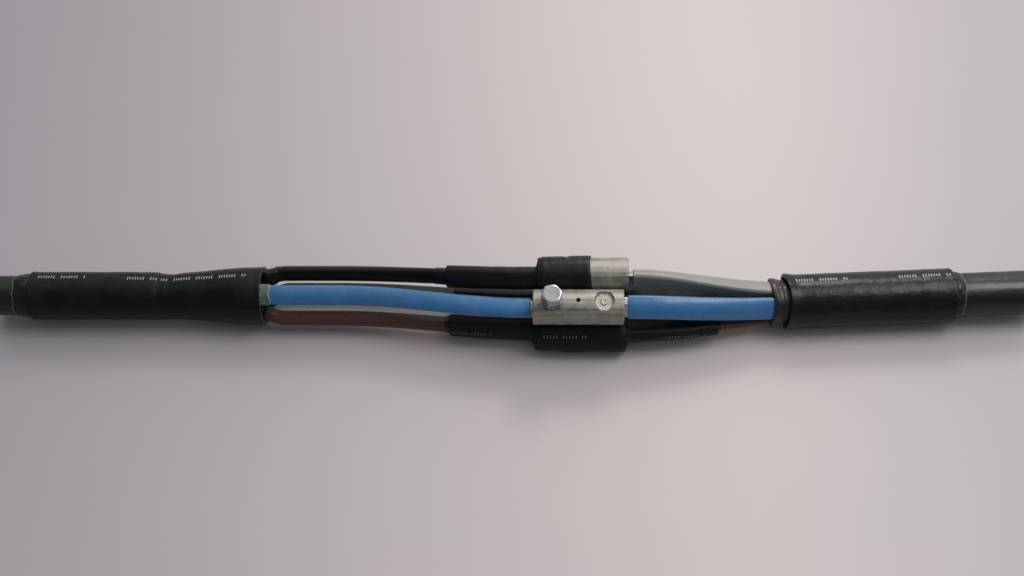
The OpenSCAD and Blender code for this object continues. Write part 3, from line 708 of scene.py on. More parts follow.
@dataclass(frozen=True)
class TurnedMetal(Finish):
    """Tin-plated aluminium, turned on a lathe.

    To the eye: soft grey metal with rings round the axis, drawn at 0.5 mm where real ones are
    about 0.1 mm, so that they show, and dull handling marks.
    """

    colour: str = "b4b1a8"
    dark: str = "807d76"
    ring_mm: float = 0.5
    roughness: float = 0.57
    stain_mm: float = 8.0
    streak_mm: float = 2.2
    scratch_mm: float = 0.4

    def lay_out(self, tree: bpy.types.NodeTree, mm: bpy.types.NodeSocket,
                shader: bpy.types.Node) -> None:
        """Lathe rings across X, stains, streaks along X and small scratches.

        Args:
            tree: The material's node tree.
            mm: Socket with the position in millimetres.
            shader: The material's surface shader.
        """
        rings = add_node(tree, "Mapping", {"Scale": (1.0, 0.02, 0.02)}, {"Vector": mm})
        turned = add_node(tree, "TexNoise", {"Scale": 1 / self.ring_mm, "Detail": 2.0},
                          {"Vector": rings.outputs["Vector"]})
        stains = add_node(tree, "TexNoise", {"Scale": 1 / self.stain_mm, "Detail": 5.0, "Roughness": 0.65},
                          {"Vector": mm})
        along = add_node(tree, "Mapping", {"Scale": (0.03, 1.0, 1.0)}, {"Vector": mm})
        streaks = add_node(tree, "TexNoise", {"Scale": 1 / self.streak_mm, "Detail": 4.0, "Roughness": 0.6},
                           {"Vector": along.outputs["Vector"]})
        both = add_node(tree, "Math", {"operation": "ADD"},
                        {0: stains.outputs["Fac"], 1: streaks.outputs["Fac"]})
        marks = add_node(tree, "MapRange", {"From Min": 0.75, "From Max": 1.25}, {"Value": both.outputs[0]})
        drawn = add_node(tree, "Mapping", {"Scale": (0.08, 1.0, 1.0), "Rotation": (0.0, 0.1, 0.3)},
                         {"Vector": mm})
        scratches = add_node(tree, "TexNoise", {"Scale": 1 / self.scratch_mm, "Detail": 2.0},
                             {"Vector": drawn.outputs["Vector"]})
        tone = add_node(tree, "Mix", {"data_type": "RGBA", 6: linear(self.dark), 7: linear(self.colour)},
                        {0: marks.outputs["Result"]})
        gloss = add_node(tree, "MapRange", {"To Min": self.roughness - 0.08, "To Max": self.roughness + 0.12},
                         {"Value": marks.outputs["Result"]})
        low = add_node(tree, "Bump", {"Strength": 0.2, "Distance": 0.0001},
                       {"Height": turned.outputs["Fac"]})
        fine = add_node(tree, "Bump", {"Strength": 0.2, "Distance": 0.0001},
                        {"Height": scratches.outputs["Fac"], "Normal": low.outputs["Normal"]})
        shader.inputs["Metallic"].default_value = 1.0
        tree.links.new(tone.outputs[2], shader.inputs["Base Color"])
        tree.links.new(gloss.outputs["Result"], shader.inputs["Roughness"])
        tree.links.new(fine.outputs["Normal"], shader.inputs["Normal"])


@dataclass(frozen=True)
class GrainyMetal(Finish):
    """Forged or broken aluminium.

    To the eye: bright grains of just under a millimetre with dark gaps.
    """

    colour: str = "b0afb0"
    dark: str = "666669"
    grain_mm: float = 0.8
    roughness: float = 0.32
    relief: float = 0.5
    pit_mm: float = 0.5

    def lay_out(self, tree: bpy.types.NodeTree, mm: bpy.types.NodeSocket,
                shader: bpy.types.Node) -> None:
        """Grains and pits.

        Args:
            tree: The material's node tree.
            mm: Socket with the position in millimetres.
            shader: The material's surface shader.
        """
        grain = add_node(tree, "TexVoronoi", {"Scale": 1 / self.grain_mm}, {"Vector": mm})
        pits = add_node(tree, "TexNoise", {"Scale": 1 / self.pit_mm, "Detail": 3.0}, {"Vector": mm})
        tone = add_node(tree, "Mix", {"data_type": "RGBA", 6: linear(self.dark), 7: linear(self.colour)},
                        {0: pits.outputs["Fac"]})
        gloss = add_node(tree, "MapRange", {"To Min": self.roughness - 0.1, "To Max": self.roughness + 0.2},
                         {"Value": pits.outputs["Fac"]})
        low = add_node(tree, "Bump", {"Strength": self.relief, "Distance": 0.0003},
                       {"Height": grain.outputs["Distance"]})
        fine = add_node(tree, "Bump", {"Strength": self.relief, "Distance": 0.0002},
                        {"Height": pits.outputs["Fac"], "Normal": low.outputs["Normal"]})
        shader.inputs["Metallic"].default_value = 1.0
        tree.links.new(tone.outputs[2], shader.inputs["Base Color"])
        tree.links.new(gloss.outputs["Result"], shader.inputs["Roughness"])
        tree.links.new(fine.outputs["Normal"], shader.inputs["Normal"])


@dataclass(frozen=True)
class HotMelt(Finish):
    """Hot-melt adhesive that ran out under heat and set.

    To the eye: glossy, a little see-through at thin edges, with streaks and caught bubbles.
    """

    colour: str = "0b0b09"
    thin: str = "191814"
    roughness: float = 0.26
    depth: float = 0.3
    cloud_mm: float = 2.2
    bubble_mm: float = 1.4

    def lay_out(self, tree: bpy.types.NodeTree, mm: bpy.types.NodeSocket,
                shader: bpy.types.Node) -> None:
        """Cloudy tone, flow lumps and bubbles.

        Args:
            tree: The material's node tree.
            mm: Socket with the position in millimetres.
            shader: The material's surface shader.
        """
        cloud = add_node(tree, "TexNoise", {"Scale": 1 / self.cloud_mm, "Detail": 4.0}, {"Vector": mm})
        bubbles = add_node(tree, "TexVoronoi", {"Scale": 1 / self.bubble_mm}, {"Vector": mm})
        tone = add_node(tree, "Mix", {"data_type": "RGBA", 6: linear(self.colour), 7: linear(self.thin)},
                        {0: cloud.outputs["Fac"]})
        low = add_node(tree, "Bump", {"Strength": 0.6, "Distance": 0.0005},
                       {"Height": cloud.outputs["Fac"]})
        fine = add_node(tree, "Bump", {"Strength": 0.35, "Distance": 0.0002, "invert": True},
                        {"Height": bubbles.outputs["Distance"], "Normal": low.outputs["Normal"]})
        shader.inputs["Roughness"].default_value = self.roughness
        shader.inputs["IOR"].default_value = 1.48
        shader.inputs["Specular IOR Level"].default_value = 0.35
        shader.inputs["Subsurface Weight"].default_value = self.depth
        shader.inputs["Subsurface Radius"].default_value = (0.0012, 0.001, 0.0007)
        tree.links.new(tone.outputs[2], shader.inputs["Base Color"])
        tree.links.new(fine.outputs["Normal"], shader.inputs["Normal"])


@dataclass(frozen=True)
class MattPaint(Finish):
    """Printing ink, or filler rubber cut with the cable.

    To the eye: flat colour with a faint mottle.
    """

    colour: str = "c8c8c6"
    other: str = "b4b4b2"
    mottle_mm: float = 0.8
    roughness: float = 0.7

    def lay_out(self, tree: bpy.types.NodeTree, mm: bpy.types.NodeSocket,
                shader: bpy.types.Node) -> None:
        """A faint mottle.

        Args:
            tree: The material's node tree.
            mm: Socket with the position in millimetres.
            shader: The material's surface shader.
        """
        cloud = add_node(tree, "TexNoise", {"Scale": 1 / self.mottle_mm, "Detail": 4.0}, {"Vector": mm})
        tone = add_node(tree, "Mix", {"data_type": "RGBA", 6: linear(self.colour), 7: linear(self.other)},
                        {0: cloud.outputs["Fac"]})
        shader.inputs["Roughness"].default_value = self.roughness
        tree.links.new(tone.outputs[2], shader.inputs["Base Color"])


# Cores

@dataclass
class CoreInsulation:
    """Insulation of one core, from the cable's cut end to where it is stripped."""

    lay: CableLay
    side: Side
    seat: Seat
    colour: str
    step: float = 2.5
    edge: float = 0.3
    cut_len: float = 0.3
    hidden_from: float = 10.0
    hidden_rings: int = 8
    waver: float = 0.07
    waver_mm: float = 16.0
    half_width: float = 8.0

    def stations(self) -> list[tuple[float, float]]:
        """Spaces the rings: few in the cable, close ones where the core shows, and a rounded end.

        Returns:
            X and inset of every ring, from the cable's cut end to the stripped end.
        """
        lay, s = self.lay, self.side.sign
        start = lay.left_end_x if self.side is Side.LEFT else lay.right_far[0]
        inside = lay.left_sheath_x if self.side is Side.LEFT else lay.right_sheath_x
        end = lay.strip_x(self.side, self.seat)
        deeper = np.linspace(start - s * self.hidden_from, inside, self.hidden_rings)[:-1]
        count = int(abs(end - inside) / self.step)
        seen = np.linspace(inside, end + s * 2 * self.edge, count)
        rounding = [(end + s * self.edge * (1 - math.sin(a)), self.edge * (1 - math.cos(a)))
                    for a in np.radians([0, 30, 60, 90])]
        return [(x, 0.0) for x in [start, start - s * self.cut_len, *deeper, *seen]] + rounding

    def build(self, shop: Workshop, finishes: Sequence[bpy.types.Material]) -> None:
        """Sweeps the outer and inner outline along the core.

        Args:
            shop: Makes the piece.
            finishes: The skin and the cut face.
        """
        lay = self.lay
        stations = self.stations()
        rounded_rows = 3
        outer = [lay.ring(self.side, self.seat, x, lay.outline(self.side, inset)) for x, inset in stations]
        inner = [lay.ring(self.side, self.seat, x, lay.outline(self.side, lay.insulation_wall))
                 for x, _inset in reversed(stations[:-rounded_rows])]
        grid = np.stack(outer + inner)
        bands = [0] * len(grid)
        bands[len(outer) - 1] = bands[-1] = 1
        skin = grid[:len(outer) - rounded_rows - 1]
        lump = ripple(skin, self.waver_mm, 3.7 * self.seat + self.side)
        skin += (skin - skin.mean(axis=1, keepdims=True)) * (lump[..., None] * self.waver / self.half_width)
        side = self.side.name.lower()
        shop.piece(f"insulation_{side}_{self.colour}", [Skin(grid, bands=bands)], finishes,
                   f"insulation_{self.colour}", [f"core_{side}_{self.colour}"])


@dataclass(frozen=True)
class Crease:
    """Fold pressed into a sleeve: its place, its length along X, and its width and turn in degrees."""

    x: float
    turn: float
    length: float
    width: float
    depth: float
    slant: float = 0.06

    def dent(self, x: float, angles: Array) -> Array:
        """Works out how deep the fold is.

        Args:
            x: Place along the joint.
            angles: Directions in degrees.

        Returns:
            Depth at x for each angle.
        """
        off = turned_from(angles, self.turn)
        along = (x - self.x - off * self.slant) / self.length
        return self.depth * np.exp(-along ** 2 - (off / self.width) ** 2)


@dataclass
class CoreSleeve:
    """Heat-shrink sleeve over a core and its connector, whole or cut away over the connector."""

    lay: CableLay
    seat: Seat
    reach: tuple[float, float] = (96.0, 96.0)
    cut_x: Optional[float] = None
    shoulders: tuple[float, float] = (4.5, 4.5)
    thinned: float = 0.0
    thinned_len: float = 26.0
    corner: float = 0.8
    creases: tuple[Crease, ...] = ()
    step: float = 1.25
    around: int = 96
    edge: float = 0.5
    dimple: float = 0.8
    dimple_r: float = 4.6
    bore_shoulder: float = 4.5
    bore_clearance: float = 0.05
    corner_len: float = 3.4
    slack: float = 0.28
    slack_mm: float = 13.0
    sunk: float = 0.18
    wrinkle: float = 0.1
    wrinkle_mm: float = 3.0
    proud: float = 0.12
    thinnest: float = 0.25
    end_follows: float = 0.7
    end_sway: float = 0.5
    end_nicks: float = 0.3
    cut_slant: float = 1.1
    cut_slant_turn: float = 216.0
    cut_peak: float = 1.2
    cut_peak_turn: float = 52.0
    cut_peak_width: float = 16.0
    cut_nicks: float = 0.12

    @property
    def angles(self) -> Array:
        """Directions in degrees of a ring's points."""
        return 90 + 360 * np.arange(self.around) / self.around

    def half(self, side: Side, x: float, bore: bool) -> Array:
        """Ring of the plain sleeve: the core's outline, a circle, or between them.

        Args:
            side: Side of the connector's middle that x lies on.
            x: Place along the joint.
            bore: Whether it is the bore's ring or the skin's.

        Returns:
            One point in joint coordinates for each angle.
        """
        lay = self.lay
        out = (x - lay.face_x(side, self.seat)) * side.sign
        if bore:
            wall, conn_ring_r = self.bore_clearance, lay.conn_r + lay.seat_gap
            shoulder = min(self.shoulders[side], self.bore_shoulder)
        else:
            wall, conn_ring_r, shoulder = lay.sleeve_wall_core, lay.covered_r, self.shoulders[side]
            conn_ring_r -= self.corner * (1 - float(ease(-out / self.corner_len)))
            inward = (x - lay.face_x(Side.LEFT, self.seat)) / self.thinned_len
            conn_ring_r -= self.thinned * (1 - float(ease(inward)))
        share = 1 - float(ease(out / shoulder))
        middle, _yaw, turn = lay.place(side, self.seat, x)
        radii = lay.reach(side, self.angles - turn, lay.sleeve_gap + wall)
        points = radii[:, None] * direction(self.angles)
        on_core = np.column_stack([np.full(self.around, middle[0]), points + middle[1:]])
        ring = conn_ring_r * direction(self.angles) + [lay.conn_y[self.seat], lay.conn_z[self.seat]]
        on_conn = np.column_stack([np.full(self.around, x), ring])
        return on_core + (on_conn - on_core) * share

    def spans(self) -> list[tuple[Side, float]]:
        """Spaces the rings evenly.

        Returns:
            Side and X of every ring, from the left end to the right end.
        """
        middle = self.lay.conn_shift[self.seat]
        left = middle - self.reach[Side.LEFT]
        right = self.cut_x if self.cut_x is not None else middle + self.reach[Side.RIGHT]
        xs = np.linspace(left, right, int((right - left) / self.step))
        return [(Side.LEFT if x < middle else Side.RIGHT, float(x)) for x in xs]

    def relief(self, ring: Array, x: float) -> Array:
        """Unevenness of the skin: dimples over the bolts, folds and slack.

        Args:
            ring: Points of the plain skin.
            x: Their place along the joint.

        Returns:
            Radial offset of each point.
        """
        lay = self.lay
        offset = Lumps(self.slack, self.slack_mm, 11.0 * self.seat).at(ring) - self.sunk
        offset += Lumps(self.wrinkle, self.wrinkle_mm, 5.0 + self.seat).at(ring * [2.2, 1.0, 1.0])
        arc = np.radians(turned_from(self.angles, lay.bolt_turn(self.seat))) * lay.covered_r
        for side in Side:
            gap = np.hypot(x - lay.conn_shift[self.seat] - side.sign * lay.bolt_pitch / 2, arc)
            offset -= self.dimple * np.exp(-(gap / self.dimple_r) ** 2)
        for crease in self.creases:
            offset -= crease.dent(x, self.angles)
        return np.minimum(offset, self.proud)

    def skins_at(self, side: Side, x: float, rim: float = 0.0) -> tuple[Array, Array]:
        """Both rings of the sleeve's wall.

        Args:
            side: Side of the connector's middle that x lies on.
            x: Place along the joint.
            rim: How far the skin is lowered, at an end.

        Returns:
            The skin's ring with its relief, and the bore's ring.
        """
        ring, bore = self.half(side, x, False), self.half(side, x, True)
        wall = np.linalg.norm(ring - bore, axis=1)
        offset = np.maximum(self.relief(ring, x) - rim, self.thinnest - wall)
        return ring + outwards(ring) * offset[:, None], bore

    def build(self, shop: Workshop, finishes: Sequence[bpy.types.Material]) -> None:
        """Lays the skin over the bore and closes both ends.

        Args:
            shop: Makes the piece.
            finishes: The skin and the cut face.
        """
        spans = self.spans()
        ends = (0, len(spans) - 1)
        pairs = [self.skins_at(side, x, self.edge if k in ends else 0.0) for k, (side, x) in enumerate(spans)]
        walls = [np.stack(rings) for rings in zip(*pairs)]
        for side, first, second in ((Side.LEFT, 0, 1), (Side.RIGHT, -1, -2)):
            lift = self.end_lift(side)
            for grid in walls:
                grid[first][:, 0] += lift
                grid[second][:, 0] += lift * self.end_follows
        bands = [0] * (2 * len(spans))
        bands[len(spans) - 1] = bands[-1] = 1
        name = f"sleeve_{self.seat.name.lower()}"
        skin = Skin(np.concatenate([walls[0], walls[1][::-1]]), bands=bands)
        shop.piece(f"shrunk_{name}", [skin], finishes, "core_sleeve", [name])

    def end_lift(self, side: Side) -> Array:
        """Shape of an end that isn't cut quite square.

        Args:
            side: Which end.

        Returns:
            Shift along X at each angle.
        """
        if side is Side.RIGHT and self.cut_x is not None:
            slant = self.cut_slant * np.cos(np.radians(self.angles - self.cut_slant_turn))
            off = turned_from(self.angles, self.cut_peak_turn) / self.cut_peak_width
            peak = self.cut_peak * np.exp(-off ** 2)
            return slant + self.cut_nicks * np.sin(np.radians(self.angles * 9)) + 0.1 + peak
        sway = self.end_sway * np.sin(np.radians(self.angles * 2 + 40 * self.seat))
        nicks = self.end_nicks * np.sin(np.radians(self.angles * 5))
        return sway + nicks - self.end_sway * side.sign


@dataclass
class SleeveTicks:
    """Rows of plain ink ticks along a core sleeve."""

    sleeve: CoreSleeve
    spans: Sequence[tuple[float, float, float, float]]
    pitch: float = 2.3
    width: float = 0.5
    height: float = 2.2
    group: int = 6
    ink: float = 0.06
    root: float = 0.1

    def tick(self, side: Side, x: float, turn: float) -> Skin:
        """One thin closed bar, laid on the sleeve's skin.

        Args:
            side: Side of the connector's middle that x lies on.
            x: Place along the joint.
            turn: Direction in degrees of the bar's middle.

        Returns:
            The bar's surface.
        """
        count = self.sleeve.around
        rings = [self.sleeve.skins_at(side, x + d)[0] for d in (-self.width / 2, self.width / 2)]
        radius = float(np.linalg.norm((rings[0] - rings[0].mean(axis=0))[:, 1:], axis=1).mean())
        half = math.degrees(self.height / 2 / radius)
        rows = []
        for a in np.linspace(turn - half, turn + half, 5):
            place = ((a - 90) % 360) / 360 * count
            low, share = int(place) % count, place % 1
            near, far = (r[low] * (1 - share) + r[(low + 1) % count] * share for r in rings)
            away = np.concatenate([[0.0], direction(a)])
            rows.append(np.stack([near - self.root * away, far - self.root * away,
                                  far + self.ink * away, near + self.ink * away]))
        return Skin(np.stack(rows), False)

    def skins(self) -> list[Skin]:
        """Sets the ticks out along their rows, with a gap after each group.

        Returns:
            One closed bar for every tick.
        """
        made = []
        middle = self.sleeve.lay.conn_shift[self.sleeve.seat]
        for first, last, turn_a, turn_b in self.spans:
            for k in range(int((last - first) / self.pitch)):
                if k % self.group == self.group - 1:
                    continue
                x = first + k * self.pitch
                turn = turn_a + (turn_b - turn_a) * (x - first) / (last - first)
                made.append(self.tick(Side.LEFT if x < middle else Side.RIGHT, x, turn))
        return made


@dataclass
class CoreAdhesive:
    """Adhesive round a core: a lumpy film that thins towards its free end."""

    lay: CableLay
    side: Side
    seat: Seat
    start: float
    length: float
    thick: float = 0.5
    lump: float = 0.6
    steps: int = 9
    lump_mm: float = 3.2
    clearance: float = 0.05
    thinnest: float = 0.08
    end_share: float = 0.25
    even_share: float = 0.35
    tongue: float = 1.6
    tongue_mm: float = 4.0

    def skin(self) -> Skin:
        """Sweeps the film along the core.

        Returns:
            Closed surface between the core's skin and a lumpy outer one.
        """
        lay = self.lay
        along = 1 if self.length > 0 else -1
        outer, inner = [], []
        for k in range(self.steps + 1):
            t = k / self.steps
            x = self.start + self.length * t
            base = lay.ring(self.side, self.seat, x, lay.outline(self.side, -self.clearance))
            wave = ripple(base, self.lump_mm, 7.0 * self.seat + self.start)
            bulge = self.even_share + (1 - self.even_share) * math.sqrt(1 - t ** 2)
            swell = self.thick * bulge * (1 + self.lump * wave)
            if k == self.steps:
                swell = swell * self.end_share
            ring = base + outwards(base) * np.maximum(swell, self.thinnest)[:, None]
            tongue = along * self.tongue * t * ripple(base * [0, 1, 1], self.tongue_mm, 2.0 + self.seat)
            ring[:, 0] += tongue
            base[:, 0] += tongue
            outer.append(ring)
            inner.append(base)
        return Skin(np.stack(outer + inner[::-1]))


# Outer tubes

@dataclass
class Barrel:
    """Axis of a tube: where it starts, its heading, and how to bend a profile round it."""

    origin: tuple[float, float, float]
    yaw: float = 0.0
    around: int = 128

    @classmethod
    def on(cls, lay: CableLay, side: Side) -> "Barrel":
        """Finds the axis of an outer tube.

        Args:
            lay: Sizes of the joint.
            side: The tube's side.

        Returns:
            The axis, with lengths along it that are X on the left, and start at the tube on the right.
        """
        if side is Side.LEFT:
            return cls((0.0, lay.axis_y[side], lay.axis_z[side]))
        return cls((lay.right_tube_x, lay.axis_y[side], lay.axis_z[side]), lay.right_yaw)

    def points(self, along: Array, y: Array, z: Array) -> Array:
        """Sets points in joint coordinates.

        Args:
            along: Lengths along the axis.
            y: Offsets across it, to the back.
            z: Offsets above it.

        Returns:
            The points, on a new last axis.
        """
        a = math.radians(self.yaw)
        return np.stack([self.origin[0] + along * math.cos(a) - y * math.sin(a),
                         self.origin[1] + along * math.sin(a) + y * math.cos(a),
                         self.origin[2] + z], axis=-1)

    def grid(self, profile: Sequence[tuple[float, float]], uneven: Callable[[Array, Array, Array], Array],
             slant: Callable[[Array, Array], Array]) -> Array:
        """Turns a profile round the axis.

        Args:
            profile: Length along the axis and radius of every row.
            uneven: Radial offset at lengths, angles and radii.
            slant: Offset along the axis at lengths and angles.

        Returns:
            Grid of points, one row for each profile point.
        """
        at, r = (np.array(column)[:, None] for column in zip(*profile))
        angles = np.radians(360 * np.arange(self.around) / self.around)[None, :]
        angles, at, r = np.broadcast_arrays(angles, at, r)
        radius = r + uneven(at, angles, r)
        return self.points(at + slant(at, angles), radius * np.cos(angles), radius * np.sin(angles))


def on_tube(at: Array, angles: Array, r: Array) -> Array:
    """Points in a tube's own axes, where its lumps are laid out."""
    return np.stack([at, r * np.cos(angles), r * np.sin(angles)], axis=-1)


def rounded(at: float, r: float, edge: float, outward: int, steps: int = 5) -> list[tuple[float, float]]:
    """Quarter circle that ends a wall's outer surface at a length.

    Args:
        at: Length of the end face.
        r: Radius of the outer surface.
        edge: Radius of the rounding.
        outward: 1 where the face looks along the axis, -1 where it looks back.
        steps: Steps of the quarter circle.

    Returns:
        Rows in the order of growing length.
    """
    turns = [math.radians(90 * k / steps) for k in range(steps + 1)]
    rows = [(at - outward * edge * (1 - math.cos(a)), r - edge * (1 - math.sin(a))) for a in turns]
    return rows[::-1] if outward > 0 else rows


@dataclass
class LeftTube:
    """Thick tube on the left cable, flared over the spread cores."""

    lay: CableLay
    edge: float = 1.0
    step: float = 2.0
    neck_on: float = 8.0
    neck_ramp: float = 14.0
    neck_drop: float = 0.5
    mouth_flat: float = 4.0
    skin_from: float = 1.2
    lumps: tuple[Lumps, Lumps] = (Lumps(0.30, 26.0, 1.0), Lumps(0.16, 9.0, 4.0))
    sunk: float = 0.34
    fold: float = 0.9
    fold_at: float = 1.0
    fold_len: float = 1.5
    fold_turn: float = 2.0
    fold_least: float = 0.15
    dip: float = 1.3
    dip_at: float = 7.5
    dip_len: float = 8.0
    dip_turn: float = 0.7
    even_ends: tuple[float, float] = (6.0, 5.0)
    mouth_slant: float = 0.5
    mouth_slant_len: float = 12.0

    def __post_init__(self) -> None:
        """Finds the tube's axis and its neck, just past the sheath's end."""
        self.barrel = Barrel.on(self.lay, Side.LEFT)
        self.neck_x = self.lay.left_sheath_x + self.neck_on

    def radius_at(self, x: float) -> float:
        """Outer radius, with a neck where the sheath ends under it.

        Args:
            x: Place along the joint.

        Returns:
            The tube's own radius, without its lumps.
        """
        start_r, mouth_r = self.lay.left_tube_r, self.lay.mouth_r
        neck_r = start_r - self.neck_drop
        if x < self.neck_x:
            share = ease((x - self.neck_x + self.neck_ramp) / self.neck_ramp)
            return float(start_r + (neck_r - start_r) * share)
        flare = self.lay.left_mouth_x - self.mouth_flat - self.neck_x
        return float(neck_r + (mouth_r - neck_r) * ease((x - self.neck_x) / flare))

    def uneven(self, at: Array, angles: Array, r: Array) -> Array:
        """Slack, a fold at the sheath's end and a dip past it, always inwards of the tube's own radius.

        Args:
            at: Places along the joint.
            angles: Directions in radians.
            r: The tube's own radii.

        Returns:
            Radial offsets.
        """
        soft = sum(part.at(on_tube(at, angles, r)) for part in self.lumps) - self.sunk
        past = at - self.lay.left_sheath_x
        front = np.clip(np.cos(angles - self.fold_turn), 0, 1)
        fold = -self.fold * np.exp(-((past - self.fold_at) / self.fold_len) ** 2) * (
            self.fold_least + (1 - self.fold_least) * front)
        fold -= self.dip * np.exp(-((past - self.dip_at) / self.dip_len) ** 2) * (
            0.5 + 0.5 * np.cos(angles - self.dip_turn))
        fade = ease((at - self.lay.left_ring_x) / self.even_ends[0])
        fade = fade * ease((self.lay.left_mouth_x - at) / self.even_ends[1])
        outside = r > self.lay.lap_r[0] + self.skin_from
        return np.where(outside, (soft + fold) * fade, 0.0)

    def slant(self, at: Array, angles: Array) -> Array:
        """The mouth isn't cut quite square."""
        share = ease((at - self.lay.left_mouth_x + self.mouth_slant_len) / self.mouth_slant_len)
        return share * (-self.mouth_slant + self.mouth_slant * np.cos(angles * 2 + 0.8) * 0.6)

    def build(self, shop: Workshop, finishes: Sequence[bpy.types.Material]) -> None:
        """Turns the wall's profile round the cable.

        Args:
            shop: Makes the piece.
            finishes: The skin and the cut face.
        """
        lay, start, mouth = self.lay, self.lay.left_ring_x, self.lay.left_mouth_x
        outer = rounded(start, lay.left_tube_r, self.edge, -1)
        outer += [(x, self.radius_at(x)) for x in np.arange(start + 2.5, mouth - self.edge - 0.5, self.step)]
        outer += rounded(mouth, lay.mouth_r, self.edge * 0.6, 1)
        rim = [(mouth, lay.mouth_r - 1.2), (mouth - 0.2, lay.mouth_r - lay.mouth_wall + 0.2)]
        inner = [(x, self.radius_at(x) - lay.mouth_wall) for x in np.linspace(mouth - 0.6, self.neck_x, 34)]
        inner += [(lay.left_sheath_x, lay.lap_r[0]), (start, lay.lap_r[0])]
        bands = [0] * (len(outer) - 1) + [1] * (len(rim) + 1) + [0] * (len(inner) - 1) + [1]
        grid = self.barrel.grid(outer + rim + inner, self.uneven, self.slant)
        shop.piece("outer_tube_left_shrunk", [Skin(grid, bands=bands)], finishes, "outer_tube",
                   ["outer_tube_left"])


def rim_bow(angles: Array) -> Array:
    """How far the right tube's cut end stands out at the top and the bottom, mm."""
    return 2.3 * np.sin(angles - 2.2) ** 2


@dataclass
class RightTube:
    """Thick tube on the right cable, over the collar."""

    lay: CableLay
    edge: float = 1.0
    step: float = 2.2
    skin_from: float = 1.0
    lumps: tuple[Lumps, Lumps] = (Lumps(0.26, 24.0, 8.0), Lumps(0.12, 8.0, 2.0))
    sunk: float = 0.26
    lifted: float = 0.9
    lifted_len: float = 9.0
    end_lift: float = 0.7
    even_ends: float = 6.0
    slant_len: float = 10.0
    out_of_square: float = 0.4
    clearance: float = 0.02

    def __post_init__(self) -> None:
        """Finds the tube's axis."""
        self.barrel = Barrel.on(self.lay, Side.RIGHT)

    def radius_at(self, _at: float) -> float:
        """Outer radius, the same all along."""
        return self.lay.right_tube_r

    def uneven(self, at: Array, angles: Array, r: Array) -> Array:
        """Soft lumps inwards of the tube's own radius, and an edge that lifts off the collar.

        Args:
            at: Lengths along the tube.
            angles: Directions in radians.
            r: The tube's own radii.

        Returns:
            Radial offsets.
        """
        soft = sum(part.at(on_tube(at, angles, r)) for part in self.lumps) - self.sunk
        fade = ease(at / self.even_ends) * ease((self.lay.right_tube_len - at) / self.even_ends)
        lifted = self.lifted * (1 - ease(at / self.lifted_len)) * np.clip(0.35 + np.sin(angles), 0, 1)
        return np.where(r > self.lay.collar_r + self.skin_from, soft * fade, 0.0) + lifted

    def slant(self, at: Array, angles: Array) -> Array:
        """Cuts both ends a little out of square.

        Args:
            at: Lengths along the tube.
            angles: Directions in radians.

        Returns:
            Offsets along the tube.
        """
        near = 1 - ease(at / self.slant_len)
        far = ease((at - self.lay.right_tube_len + self.slant_len) / self.slant_len)
        return near * (self.out_of_square - rim_bow(angles)) - (
            far * self.out_of_square * (1 + np.sin(angles * 2)))

    def build(self, shop: Workshop, finishes: Sequence[bpy.types.Material]) -> None:
        """Turns the wall's profile round the cable.

        Args:
            shop: Makes the piece.
            finishes: The skin and the cut face.
        """
        lay, length, under = self.lay, self.lay.right_tube_len, self.lay.collar_lap_len
        outer = rounded(0.0, lay.right_tube_r, self.edge, -1)
        outer += [(x, lay.right_tube_r) for x in np.arange(2.5, length - 2.4, self.step)]
        outer += rounded(length, lay.right_tube_r, self.edge, 1)
        bore_r = lay.collar_r + self.clearance
        inner = [(length, lay.lap_r[1] + 1.2), (length, lay.lap_r[1]), (under + 5, lay.lap_r[1]),
                 (under, bore_r), (5.0, bore_r), (1.5, lay.collar_r + 0.5),
                 (0.0, lay.collar_r + self.end_lift)]
        bands = [0] * (len(outer) - 1) + [1, 1] + [0] * (len(inner) - 1)
        grid = self.barrel.grid(outer + inner, self.uneven, self.slant)
        shop.piece("outer_tube_right_shrunk", [Skin(grid, bands=bands)], finishes, "outer_tube",
                   ["outer_tube_right"])


